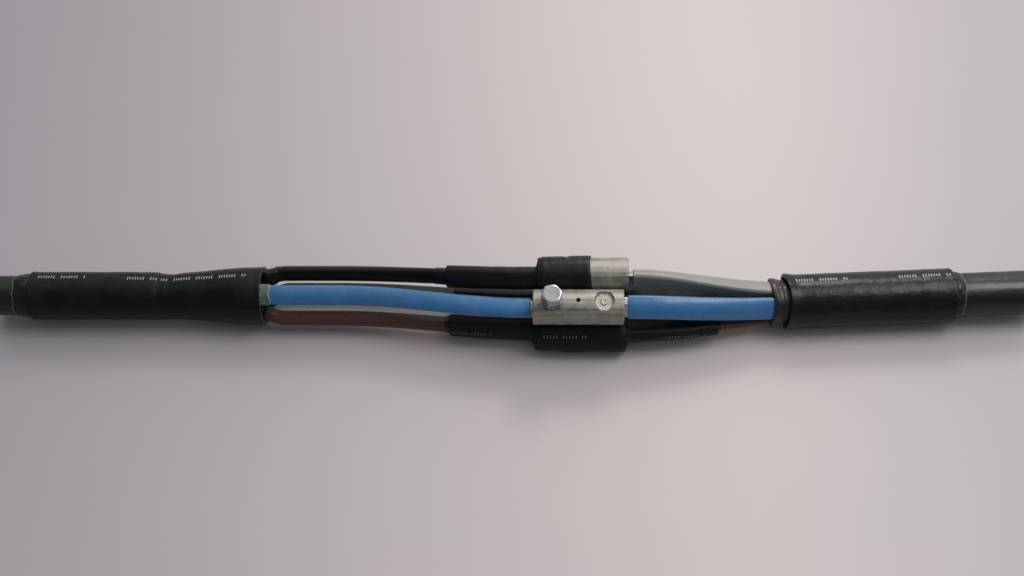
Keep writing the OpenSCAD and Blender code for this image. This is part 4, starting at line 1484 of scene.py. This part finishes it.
@dataclass
class InnerCollar:
    """Second tube layer in front of the right outer tube, with a rolled lip."""

    lay: CableLay
    edge: float = 0.85
    step: float = 0.7
    flare: float = 0.5
    flare_len: float = 10.0
    skin_from: float = 0.9
    ring: float = 0.4
    ring_turn: float = 0.72
    dents: Lumps = Lumps(0.3, 6.0, 3.0)
    sunk: float = 0.4
    groove: float = 1.3
    groove_at: float = -4.4
    groove_len: float = 1.8

    def uneven(self, at: Array, angles: Array, r: Array) -> Array:
        """Rings and dents of the part that shows, and the groove at the outer tube's edge.

        Args:
            at: Lengths from the outer tube's near end.
            angles: Directions in radians.
            r: The collar's own radii.

        Returns:
            Radial offsets.
        """
        shown = 1 - ease((at + 2) / 4)
        start = at + self.lay.collar_show_len
        wave = np.sin(at * self.ring_turn + 2.4 + 0.5 * np.sin(angles * 2))
        rings = self.ring * wave * ease((start - 0.5) / 3)
        near_tube = ease((at + rim_bow(angles) - self.groove_at) / self.groove_len)
        groove = -self.groove * near_tube * (1 - ease((at - 1.0) / 1.5))
        dents = self.dents.at(on_tube(at, angles, r))
        shape = shown * (rings + dents - self.sunk) * (1 - near_tube) + groove
        return np.where(r > self.lay.collar_r - self.skin_from, shape, 0.0)

    def slant(self, at: Array, angles: Array) -> Array:
        """Makes the lip wave.

        Args:
            at: Lengths from the outer tube's near end.
            angles: Directions in radians.

        Returns:
            Offsets along the collar.
        """
        share = 1 - ease((at + self.lay.collar_show_len) / 8)
        wave = 0.9 + 0.3 * np.sin(angles * 3 + 0.5) + 0.15 * np.sin(angles * 7)
        return share * (wave - 0.5 * rim_bow(angles))

    def build(self, shop: Workshop, finishes: Sequence[bpy.types.Material]) -> None:
        """Turns the wall's profile round the cable.

        Args:
            shop: Makes the piece.
            finishes: The skin and the cut face.
        """
        lay, start, end = self.lay, -self.lay.collar_show_len, self.lay.collar_lap_len
        bore_r, lip_r = lay.lap_r[1], lay.collar_r + self.flare
        outer = rounded(start, lip_r, self.edge, -1, 6)
        outer += [(x, lip_r - self.flare * float(ease((x - start) / self.flare_len)))
                  for x in np.arange(start + 1.4, 2.0, self.step)]
        outer += [(end, lay.collar_r)]
        inner = [(end, bore_r), (lay.right_sheath_at, bore_r), (lay.right_sheath_at - 6, bore_r)]
        inner += [(x, bore_r + self.flare * (1 - float(ease((x - start) / self.flare_len))))
                  for x in np.linspace(0.0, start, 12)]
        bands = [0] * (len(outer) + len(inner) - 1) + [1]
        grid = Barrel.on(lay, Side.RIGHT).grid(outer + inner, self.uneven, self.slant)
        shop.piece("inner_collar_rolled", [Skin(grid, bands=bands)], finishes, "collar",
                   ["inner_collar_right"])


@dataclass
class TubeAdhesive:
    """Bead of adhesive that ran out between a tube's end and the sheath."""

    lay: CableLay
    side: Side
    height: float = 1.8
    steps: int = 12
    clearance: float = 0.02
    longer: tuple[float, float] = (2.4, -2.8)
    lumps: Lumps = Lumps(0.5, 5.0, 6.0)
    sunk: float = 0.35

    def uneven(self, at: Array, angles: Array, r: Array) -> Array:
        """Lumps of the bead, which fade towards the sheath.

        Args:
            at: Lengths from the free edge.
            angles: Directions in radians.
            r: The bead's own radii.

        Returns:
            Radial offsets.
        """
        lift = r - self.lay.lap_r[self.side]
        return np.clip(lift, 0, 1) * (self.lumps.at(on_tube(at, angles, r)) - self.sunk)

    def slant(self, at: Array, angles: Array) -> Array:
        """Tongues of the free edge."""
        free = 1 - at / self.lay.ring_len
        return free * (0.6 * np.sin(angles * 3 + 1.0) + 0.3 * np.sin(angles * 8) - self.longer[self.side])

    def build(self, shop: Workshop, finishes: Sequence[bpy.types.Material]) -> None:
        """Turns the bead's profile round the cable.

        Args:
            shop: Makes the piece.
            finishes: The bead and its thin edge.
        """
        lay, side, length = self.lay, self.side, self.lay.ring_len
        bore_r = lay.lap_r[side] + self.clearance
        turns = [math.radians(90 * k / self.steps) for k in range(self.steps + 1)]
        outer = [(length * (1 - math.cos(a)), bore_r + self.height * math.sin(a)) for a in turns]
        inner = [(length, bore_r), (4.0, bore_r - self.clearance / 2)]
        if side is Side.LEFT:
            barrel = Barrel((lay.left_ring_x - length, lay.axis_y[side], lay.axis_z[side]))
        else:
            barrel = Barrel(tuple(lay.right_point(lay.right_tube_len + length)), 180 + lay.right_yaw)
        grid = barrel.grid(outer + inner, self.uneven, self.slant)
        bands = [1] * 3 + [0] * (len(grid) - 4) + [1]
        name = side.name.lower()
        shop.piece(f"tube_adhesive_{name}", [Skin(grid, bands=bands)], finishes, "adhesive",
                   [f"adhesive_ring_{name}"])


# Bolts

@dataclass
class BoltPlace:
    """A bolt's own axes: X along the cable, Z out of the connector."""

    lay: CableLay
    seat: Seat
    side: Side
    around: int = 96

    def grid(self, rows: Sequence[tuple[float, float]], shape: Callable[[Array, float], Array]) -> Array:
        """Turns rows of height and radius round the bolt.

        Args:
            rows: Height over the connector's axis and radius.
            shape: Changes the radii of a row at its angles and height.

        Returns:
            Grid of points in joint coordinates.
        """
        lay = self.lay
        angles = 360 * np.arange(self.around) / self.around
        tilt = math.radians(lay.bolt_turn(self.seat) - 90)
        centre_x = lay.conn_shift[self.seat] + self.side.sign * lay.bolt_pitch / 2
        made = []
        for height, radius in rows:
            r = shape(angles, height) * radius
            x, y = r * np.cos(np.radians(angles)), r * np.sin(np.radians(angles))
            made.append(np.stack([centre_x + x,
                                  lay.conn_y[self.seat] + y * math.cos(tilt) - height * math.sin(tilt),
                                  lay.conn_z[self.seat] + y * math.sin(tilt) + height * math.cos(tilt)],
                                 axis=-1))
        return np.stack(made)


@dataclass
class WholeBolt:
    """Shear bolt with its hexagon head still on, over a thread and a shear neck."""

    place: BoltPlace
    across_flats: float = 13.5
    head_h: float = 9.0
    head_turn: float = 42.0
    lift: float = 2.0
    low: float = 4.4
    pitch: float = 1.5
    depth: float = 0.45
    thread_step: float = 0.14
    neck_h: float = 0.9
    neck_share: float = 0.72
    corner_share: float = 1.145
    chamfer_share: float = 1.155
    chamfer_h: float = 1.3
    chamfer_fall: float = 0.13

    def __post_init__(self) -> None:
        """Works out the shank's radius and the heights of the head."""
        self.shank_r = self.place.lay.bolt_d / 2
        self.under = self.place.lay.conn_r + self.lift
        self.top = self.under + self.head_h

    def thread(self, angles: Array, height: float) -> Array:
        """Cuts the thread, one turn for each pitch.

        Args:
            angles: Directions in degrees.
            height: Height over the connector's axis.

        Returns:
            Factors of the shank's radius.
        """
        phase = (height / self.pitch - angles / 360) % 1.0
        crest = np.abs(2 * phase - 1)
        fade = float(ease((height - self.low) / 1.0) * ease((self.under - self.neck_h - height) / 0.5))
        return 1 - fade * self.depth / self.shank_r * np.clip(1.4 * crest - 0.2, 0, 1)

    def hexagon(self, angles: Array, height: float) -> Array:
        """Shapes the head: six flats, softened corners and a chamfer above.

        Args:
            angles: Directions in degrees.
            height: Height over the connector's axis.

        Returns:
            Factors of half the width across flats.
        """
        flat = 1 / np.cos(np.radians(30 - np.abs(30 - (angles - self.head_turn) % 60)))
        above = max(0.0, height - (self.top - self.chamfer_h))
        return np.minimum(np.minimum(flat, self.corner_share), self.chamfer_share - above * self.chamfer_fall)

    def build(self, shop: Workshop, finishes: Sequence[bpy.types.Material]) -> None:
        """Threaded shank and head in one piece.

        Args:
            shop: Makes the piece.
            finishes: The head's top, the thread and the head's flats.
        """
        r, low, under, top = self.shank_r, self.low, self.under, self.top
        neck_r = r * self.neck_share
        shank = [(low, r - 0.6), (low + 0.05, r - 0.5), (low + 0.5, r)]
        shank += [(h, r) for h in np.arange(low + 0.7, under - self.neck_h, self.thread_step)]
        shank += [(under - 0.85, r - 0.1), (under - 0.8, r - 0.5), (under - 0.75, neck_r),
                  (under + 0.2, neck_r)]
        half = self.across_flats / 2
        sides = [(under, half * 0.8), (under, half * 0.97), (under + 0.15, half)]
        sides += [(h, half) for h in np.linspace(under + 0.6, top - self.chamfer_h, 8)]
        sides += [(top - 0.9, half), (top - 0.5, half * 0.99), (top - 0.15, half * 0.95)]
        face = [(top, half * 0.9), (top - 0.05, half * 0.8), (top - 0.1, half * 0.5), (top - 0.1, half * 0.2)]
        skins = [Skin(self.place.grid(shank, self.thread), False, [1] * len(shank)),
                 Skin(self.place.grid(sides + face, self.hexagon), False, [2] * len(sides) + [0] * len(face))]
        shop.piece("bolt_whole_hexagon", skins, finishes, "bolt", ["bolt_front_whole"])


@dataclass
class ShearedBolt:
    """Bolt that broke off in its hole: threads, a dished break and the stub of its neck."""

    place: BoltPlace
    low: float = 5.6
    sunk: float = 0.9
    play: float = 0.06
    tear: float = 0.16
    tear_mm: float = 1.1

    def top_z(self) -> float:
        """Height of the broken face."""
        lay = self.place.lay
        return math.sqrt(lay.conn_r ** 2 - (lay.bolt_d / 2 + 0.1) ** 2) - self.sunk

    def torn(self, angles: Array, height: float) -> Array:
        """Slightly uneven edge."""
        wave = 0.008 * np.sin(np.radians(angles * 3 + height * 40))
        return 1 + wave + 0.004 * np.sin(np.radians(angles * 11))

    def build(self, shop: Workshop, finishes: Sequence[bpy.types.Material]) -> None:
        """Plug with its rough break.

        Args:
            shop: Makes the piece.
            finishes: The break and the thread.
        """
        r, top = self.place.lay.bolt_d / 2 - self.play, self.top_z()
        plug = [(self.low, r - 0.4), (self.low + 0.4, r), (top - 0.5, r), (top - 0.15, r - 0.12)]
        dish = [(top, r - 0.45), (top - 0.1, r - 0.8), (top - 0.45, r - 1.25), (top - 0.5, r * 0.7),
                (top - 0.42, r * 0.52)]
        stub = [(top - 0.34, r * 0.4), (top - 0.05, r * 0.36), (top + 0.12, r * 0.33), (top + 0.1, r * 0.27),
                (top - 0.1, r * 0.2), (top - 0.16, r * 0.08)]
        grid = self.place.grid(plug + dish + stub, self.torn)
        up = np.concatenate([[0.0], direction(self.place.lay.bolt_turn(self.place.seat))])
        broken = np.arange(len(grid))[:, None] >= len(plug)
        grid = grid + (ripple(grid, self.tear_mm, 9.0) * self.tear * broken)[..., None] * up
        bands = [1] * (len(plug) - 1) + [0] * (len(grid) - len(plug) + 1)
        shop.piece("bolt_sheared_face", [Skin(grid, False, bands)], finishes, "bolt", ["bolt_front_sheared"])


# Ink ticks

@dataclass
class TickRow:
    """Row of plain ink ticks along a tube."""

    tube: LeftTube | RightTube
    spans: Sequence[tuple[float, float]]
    angle: float
    pitch: float = 1.9
    width: float = 0.7
    height: float = 2.7
    taller: float = 1.25
    group: int = 9
    inked: int = 7
    ink: float = 0.05
    root: float = 0.1

    def marks(self) -> list[tuple[float, float]]:
        """Sets the ticks out in groups, with every third one taller.

        Returns:
            Length along the tube and height of every tick.
        """
        made = []
        for first, last in self.spans:
            for k in range(int((last - first) / self.pitch)):
                if k % self.group < self.inked:
                    made.append((first + k * self.pitch, self.height if k % 3 else self.height * self.taller))
        return made

    def skins(self) -> list[Skin]:
        """Bends one thin closed bar round the tube for every tick.

        Returns:
            The bars' surfaces.
        """
        made = []
        for at, height in self.marks():
            r = self.tube.radius_at(at)
            half = math.degrees(height / 2 / r)
            along = at + np.array([-1, 1, 1, -1]) * self.width / 2
            lift = np.array([-self.root, -self.root, self.ink, self.ink])
            rows = []
            for turn in np.linspace(self.angle - half, self.angle + half, 5):
                a = np.full(4, math.radians(turn))
                radius = r + self.tube.uneven(along, a, np.full(4, r)) + lift
                rows.append(self.tube.barrel.points(along, radius * np.cos(a), radius * np.sin(a)))
            made.append(Skin(np.stack(rows), False))
        return made


# Studio

@dataclass
class Studio:
    """Pale table, soft light and the camera, all placed from joint coordinates."""

    shop: Workshop
    camera_at: tuple[float, float, float] = (-2.658, -592.904, 858.239)
    yaw: float = -0.0738
    pitch: float = 0.9282
    roll: float = -0.0582
    lens: float = 49.762
    sensor: float = 36.0
    table_half: float = 3.0
    room_dimmest: float = 0.16

    def camera(self) -> None:
        """Camera at the photograph's view."""
        cy, sy, cp, sp = math.cos(self.yaw), math.sin(self.yaw), math.cos(self.pitch), math.sin(self.pitch)
        ahead = Vector((sy * cp, cy * cp, -sp))
        right = Vector((cy, -sy, 0.0))
        up = right.cross(ahead)
        across = right * math.cos(self.roll) + up * math.sin(self.roll)
        upward = up * math.cos(self.roll) - right * math.sin(self.roll)
        data = bpy.data.cameras.new("view")
        data.lens = self.lens
        data.sensor_width = self.sensor
        data.clip_start = 0.01
        made = bpy.data.objects.new("view", data)
        turn = Matrix((across, upward, -ahead)).transposed().to_4x4()
        made.matrix_world = Matrix.Translation(Vector(self.shop.cast(np.array(self.camera_at))[0])) @ turn
        bpy.context.scene.collection.objects.link(made)
        bpy.context.scene.camera = made

    def lamp(self, name: str, at: tuple[float, float, float], aim: tuple[float, float, float],
             size: tuple[float, float], power: float, colour: str) -> None:
        """Soft rectangular lamp.

        Args:
            name: The lamp's name.
            at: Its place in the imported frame's metres.
            aim: The point that it faces.
            size: Width and depth of the light area.
            power: Watts.
            colour: Colour as a hex value.
        """
        data = bpy.data.lights.new(name, "AREA")
        data.shape = "RECTANGLE"
        data.size, data.size_y = size
        data.energy = power
        data.color = linear(colour)[:3]
        made = bpy.data.objects.new(name, data)
        made.location = at
        made.rotation_euler = (Vector(aim) - Vector(at)).to_track_quat("-Z", "Y").to_euler()
        bpy.context.scene.collection.objects.link(made)

    def world(self, colour: str, strength: float) -> None:
        """Room light that is strongest from above, behind and the right.

        Args:
            colour: Its colour as a hex value.
            strength: Its brightest level.
        """
        made = bpy.data.worlds.new("room")
        made.use_nodes = True
        tree = made.node_tree
        shade = tree.nodes["Background"]
        shade.inputs["Color"].default_value = linear(colour)
        place = add_node(tree, "TexCoord")
        facing = add_node(tree, "VectorMath", {"operation": "DOT_PRODUCT", 1: (0.5, 0.5, 0.7)},
                          {0: place.outputs["Generated"]})
        level = add_node(tree, "MapRange", {"interpolation_type": "SMOOTHSTEP", "From Min": 0.2,
                                            "From Max": 1.0, "To Min": self.room_dimmest * strength,
                                            "To Max": strength}, {"Value": facing.outputs["Value"]})
        tree.links.new(level.outputs["Result"], shade.inputs["Strength"])
        bpy.context.scene.world = made

    def table(self, finish: bpy.types.Material) -> None:
        """Lays a large plain table top at the height that the joint lies on.

        Args:
            finish: Its paint.
        """
        half = self.table_half
        mesh = bpy.data.meshes.new("table_top")
        mesh.from_pydata([(-half, -half, 0), (half, -half, 0), (half, half, 0), (-half, half, 0)], [],
                         [(0, 1, 2, 3)])
        mesh.materials.append(finish)
        made = bpy.data.objects.new("table_top", mesh)
        bpy.context.scene.collection.objects.link(made)

    def build(self, table: bpy.types.Material) -> None:
        """Sets up everything that isn't the joint.

        Args:
            table: Paint of the table top.
        """
        self.camera()
        self.table(table)
        self.world(colour="f3f4f6", strength=1.3)
        self.lamp("back_window", at=(0.36, 1.10, 1.10), aim=(0.03, 0.0, 0.0), size=(0.5, 0.35),
                  power=6.2, colour="fff7ec")
        self.lamp("ceiling_panel", at=(0.82, 0.12, 1.35), aim=(0.82, 0.12, 0.0), size=(0.6, 0.75),
                  power=8.0, colour="f6f6fa")
        bpy.context.scene.view_settings.view_transform = "Standard"


@dataclass(frozen=True)
class TableTop(Finish):
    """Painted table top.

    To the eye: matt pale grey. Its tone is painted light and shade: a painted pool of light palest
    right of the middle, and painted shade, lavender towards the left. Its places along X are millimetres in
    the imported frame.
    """

    painted_shade_tone: str = "9f9aa1"
    painted_light_tone: str = "c4bcba"
    rise_x: tuple[float, float] = (-540.0, 210.0)
    fall_x: tuple[float, float] = (130.0, 430.0)
    far_share: float = 0.3
    mottle_mm: float = 60.0
    mottle_share: float = 0.08
    roughness: float = 0.5

    def lay_out(self, tree: bpy.types.NodeTree, mm: bpy.types.NodeSocket,
                shader: bpy.types.Node) -> None:
        """Painted light and shade as a slow change of tone across the table, and a faint mottle.

        Args:
            tree: The material's node tree.
            mm: Socket with the position in millimetres.
            shader: The material's surface shader.
        """
        # Painted light: rise and fall make a pool of painted light right of the middle, with painted shade on
        # either side.
        parts = add_node(tree, "SeparateXYZ", {}, {0: mm})
        rise = add_node(tree, "MapRange", {"interpolation_type": "SMOOTHSTEP", "From Min": self.rise_x[0],
                                           "From Max": self.rise_x[1]}, {"Value": parts.outputs["X"]})
        fall = add_node(tree, "MapRange", {"interpolation_type": "SMOOTHSTEP", "From Min": self.fall_x[0],
                                           "From Max": self.fall_x[1], "To Min": 1.0,
                                           "To Max": self.far_share}, {"Value": parts.outputs["X"]})
        across = add_node(tree, "Math", {"operation": "MULTIPLY"},
                          {0: rise.outputs["Result"], 1: fall.outputs["Result"]})
        cloud = add_node(tree, "TexNoise", {"Scale": 1 / self.mottle_mm, "Detail": 4.0}, {"Vector": mm})
        share = add_node(tree, "Math", {"operation": "MULTIPLY_ADD", 1: self.mottle_share,
                                         "use_clamp": True},
                         {0: cloud.outputs["Fac"], 2: across.outputs["Value"]})
        tone = add_node(tree, "Mix", {"data_type": "RGBA", 6: linear(self.painted_shade_tone), 7: linear(self.painted_light_tone)},
                        {0: share.outputs["Value"]})
        shader.inputs["Roughness"].default_value = self.roughness
        tree.links.new(tone.outputs[2], shader.inputs["Base Color"])


# Assembly

class CoreColour(Enum):
    """Insulation colours, with skin, handled tone, specular level and roughness."""

    BLACK = ("0e0e0f", "191a1c", 0.25, 0.28)
    BLUE = ("336a9a", "6a94bc", 0.5, 0.23)
    BROWN = ("4a3328", "69503f", 0.25, 0.28)
    GREY = ("8a8982", "a6a49c", 0.5, 0.23)
    # Grey PVC painted near black: painted shade, for the left grey core that lies in deep shade between the
    # others.
    GREY_PAINTED_SHADE = ("181817", "262523", 0.27, 0.28)

    def finish(self) -> bpy.types.Material:
        """Mixes extruded PVC in this colour.

        Returns:
            The core's skin.
        """
        skin, worn, level, rough = self.value
        return ExtrudedPlastic(f"pvc_extruded_{self.name.lower()}", skin, worn, rough, specular=level).make()

    def node(self) -> str:
        """Colour name that the solids use."""
        return "grey" if self is CoreColour.GREY_PAINTED_SHADE else self.name.lower()

    def cut(self) -> bpy.types.Material:
        """The same PVC cut with a knife."""
        return CutFace(f"pvc_cut_{self.name.lower()}", self.value[0], self.value[1]).make()


CORES: dict[Side, tuple[CoreColour, ...]] = {
    Side.LEFT: (CoreColour.BLACK, CoreColour.BLUE, CoreColour.BROWN, CoreColour.GREY_PAINTED_SHADE),
    Side.RIGHT: (CoreColour.GREY, CoreColour.BLUE, CoreColour.BROWN, CoreColour.BLACK),
}


@dataclass
class Joint:
    """The whole dressed joint."""

    lay: CableLay
    shop: Workshop
    bare_len: float = 27.0
    glue_overlap: float = 0.8
    crotch_root: float = 2.0
    cut: bpy.types.Material = field(init=False)
    glue: bpy.types.Material = field(init=False)
    thin: bpy.types.Material = field(init=False)

    def __post_init__(self) -> None:
        """Mixes the finishes that several pieces share."""
        self.cut = CutFace("polyolefin_knife_cut").make()
        self.glue = HotMelt("hot_melt_dark").make()
        self.thin = HotMelt("hot_melt_thin_edge", "55574a", "84877a", roughness=0.3, depth=0.2).make()

    def cable(self) -> None:
        """Sheaths and bedding."""
        sheath = ExtrudedPlastic("pe_extruded_sheath", "0c0d0e", "1b1c1e", roughness=0.27,
                                 streak_mm=3.4, relief=0.5, lumps=0.2).make()
        bedding = MattPaint("filler_rubber_bedding", "38383a", "4c4c4e", mottle_mm=0.6, roughness=0.85).make()
        self.shop.dress(["sheath_left", "sheath_right"], sheath)
        self.shop.dress(["bedding_left", "bedding_right"], bedding)

    def metal(self) -> None:
        """Connectors, conductors and bolts."""
        lay = self.lay
        tinned = TurnedMetal("aluminium_tinned_turned").make()
        drawn = TurnedMetal("aluminium_drawn_sector", "c6c6c8", "a2a2a6", ring_mm=1.2, roughness=0.4).make()
        grains = GrainyMetal("aluminium_forged_head").make()
        broken = GrainyMetal("aluminium_broken", "cdc7bc", "8c8881", grain_mm=0.9, roughness=0.5,
                             relief=0.9).make()
        thread = TurnedMetal("aluminium_cut_thread", "a9a8a6", "7c7b7a", ring_mm=0.8, roughness=0.4).make()
        self.shop.dress([f"connector_{s.name.lower()}" for s in Seat], tinned)
        self.shop.dress([f"conductor_{side.name.lower()}_{c.node()}" for side in Side for c in CORES[side]],
                        drawn)
        self.shop.dress(["bolts_upper_back", "bolts_lower_front", "bolts_lower_back"], broken)
        flats = TurnedMetal("aluminium_pressed_flats", "dcdcde", "acacb0", ring_mm=0.9, roughness=0.28).make()
        WholeBolt(BoltPlace(lay, Seat.FRONT, Side.LEFT)).build(self.shop, [grains, thread, flats])
        ShearedBolt(BoltPlace(lay, Seat.FRONT, Side.RIGHT)).build(self.shop, [broken, thread])

    def cores(self) -> None:
        """All eight insulated cores. The left grey one is painted near black, as painted shade for the deep
        shade it lies in between the other cores.
        """
        for colour in CoreColour:
            skin, edge = colour.finish(), colour.cut()
            for side, order in CORES.items():
                if colour in order:
                    seat = Seat(order.index(colour))
                    CoreInsulation(self.lay, side, seat, colour.node()).build(self.shop, [skin, edge])

    def sleeves(self) -> None:
        """The core sleeves, the ticks on one of them and the adhesive squeezed out of all."""
        lay = self.lay
        skin = ShrunkPolyolefin("polyolefin_core_sleeve", "0c0c0d", "171718", roughness=0.25,
                                peel_mm=1.6, specular=0.27).make()
        dull = ShrunkPolyolefin("polyolefin_core_sleeve_scorched", "0d0d0d", "19191a", roughness=0.42,
                                peel_mm=1.6, specular=0.18).make()
        folds = (Crease(x=-12.5, turn=142.0, length=3.2, width=7.0, depth=1.9),
                 Crease(x=-8.0, turn=48.0, length=1.8, width=18.0, depth=1.1),
                 Crease(x=-17.0, turn=146.0, length=5.0, width=5.0, depth=0.9))
        half_open = CoreSleeve(lay, Seat.UPPER_BACK, reach=(100.0, 0.0), shoulders=(1.6, 4.5),
                               cut_x=lay.face_x(Side.RIGHT, Seat.UPPER_BACK) - self.bare_len,
                               thinned=0.9, thinned_len=34.0, corner=1.2, creases=folds)
        front = CoreSleeve(lay, Seat.LOWER_FRONT, reach=(96.0, 99.4), shoulders=(3.4, 2.8), thinned=1.2)
        back = CoreSleeve(lay, Seat.LOWER_BACK, shoulders=(4.5, 12.0))
        half_open.build(self.shop, [skin, self.cut])
        front.build(self.shop, [dull, self.cut])
        back.build(self.shop, [dull, self.cut])
        faint = MattPaint("ink_faint_ticks", "8e8e8b", "5c5c5c").make()
        ticks = SleeveTicks(front, [(-91.0, -61.0, 157.0, 160.0), (-24.5, 9.0, 139.0, 139.0),
                                    (63.0, 95.0, 152.0, 162.0)])
        self.shop.piece("ink_ticks_sleeve", ticks.skins(), [faint], "core_sleeve")
        self.squeeze(half_open, {Side.LEFT: 9.0})
        self.squeeze(front, {Side.LEFT: 3.0, Side.RIGHT: 2.2})
        self.squeeze(back, {Side.LEFT: 6.5, Side.RIGHT: 6.5})

    def squeeze(self, sleeve: CoreSleeve, spread: dict[Side, float]) -> None:
        """Adhesive that ran out of a core sleeve.

        Args:
            sleeve: The sleeve.
            spread: How far it ran along the core, for each side that has it.
        """
        seat, skins = sleeve.seat, []
        for side, length in spread.items():
            start = self.lay.conn_shift[seat] + side.sign * (sleeve.reach[side] - self.glue_overlap)
            skins.append(CoreAdhesive(self.lay, side, seat, start, side.sign * length).skin())
        name = seat.name.lower()
        self.shop.piece(f"squeezed_adhesive_{name}", skins, [self.glue], "adhesive",
                        [f"adhesive_sleeve_{name}"])

    def crotch(self) -> None:
        """Adhesive round the roots of the left cores, pale round the front one."""
        lay = self.lay
        pale = HotMelt("hot_melt_pale", "36453e", "6b8077", roughness=0.22, depth=0.5).make()
        lip = HotMelt("hot_melt_pale_lip", "6a7b74", "93a298", roughness=0.22, depth=0.4).make()
        lengths = {Seat.UPPER_BACK: 10.0, Seat.FRONT: 6.6, Seat.LOWER_FRONT: 2.4, Seat.LOWER_BACK: 5.5}
        start = lay.left_mouth_x - self.crotch_root
        skins = []
        for seat, length in lengths.items():
            film = CoreAdhesive(lay, Side.LEFT, seat, start, length + self.crotch_root, thick=0.9,
                                lump=0.8, steps=14)
            skin = film.skin()
            skin.bands = [0 if seat is Seat.FRONT else 1] * len(skin.grid)
            if seat is Seat.FRONT:
                skin.bands[film.steps - 1] = 2
            skins.append(skin)
        self.shop.piece("crotch_adhesive", skins, [pale, self.glue, lip], "adhesive_pale",
                        ["adhesive_crotch_left"])

    def tubes(self) -> None:
        """Outer tubes, collar, adhesive beads and ink ticks."""
        lay = self.lay
        left, right = LeftTube(lay), RightTube(lay)
        left.build(self.shop, [ShrunkPolyolefin("polyolefin_heat_shrunk_tube").make(), self.cut])
        shiny = ShrunkPolyolefin("polyolefin_heat_shrunk_shiny", "0a0a0b", "181717", roughness=0.2,
                                 specular=0.28).make()
        right.build(self.shop, [shiny, self.cut])
        roll = ShrunkPolyolefin("polyolefin_rolled_collar", "131311", "2b2c28", roughness=0.24,
                                peel_mm=1.8, relief=0.5, specular=0.5).make()
        InnerCollar(lay).build(self.shop, [roll, self.cut])
        for side in Side:
            TubeAdhesive(lay, side).build(self.shop, [self.glue, self.thin])
        # The right tube's ink is paler than the left tube's: painted highlight of the lamp's reflection on
        # the print.
        ink_painted_highlight = MattPaint("ink_ticks_painted_highlight", "d8d4c6", "a9a7a0").make()
        plain = MattPaint("ink_plain_ticks", "bebcb5", "8c8c8e").make()
        rows = TickRow(left, [(-398.0, -361.0)], 75.0).skins()
        rows += TickRow(left, [(-331.0, -240.0)], 80.5).skins()
        self.shop.piece("ink_ticks_left", rows, [plain], "outer_tube")
        rows = TickRow(right, [(6.0, 45.0), (80.0, 118.0)], 76.0).skins()
        self.shop.piece("ink_ticks_right", rows, [ink_painted_highlight], "outer_tube")


def main() -> None:
    """Builds and dresses the joint, then sets up the studio."""
    logging.basicConfig(level=logging.INFO, format="%(message)s")
    lay = CableLay()
    joint = Joint(lay, Workshop(lay))
    joint.cable()
    joint.metal()
    joint.cores()
    joint.sleeves()
    joint.crotch()
    joint.tubes()
    Studio(joint.shop).build(TableTop("table_matt_paint").make())


if __name__ == "__main__":
    main()
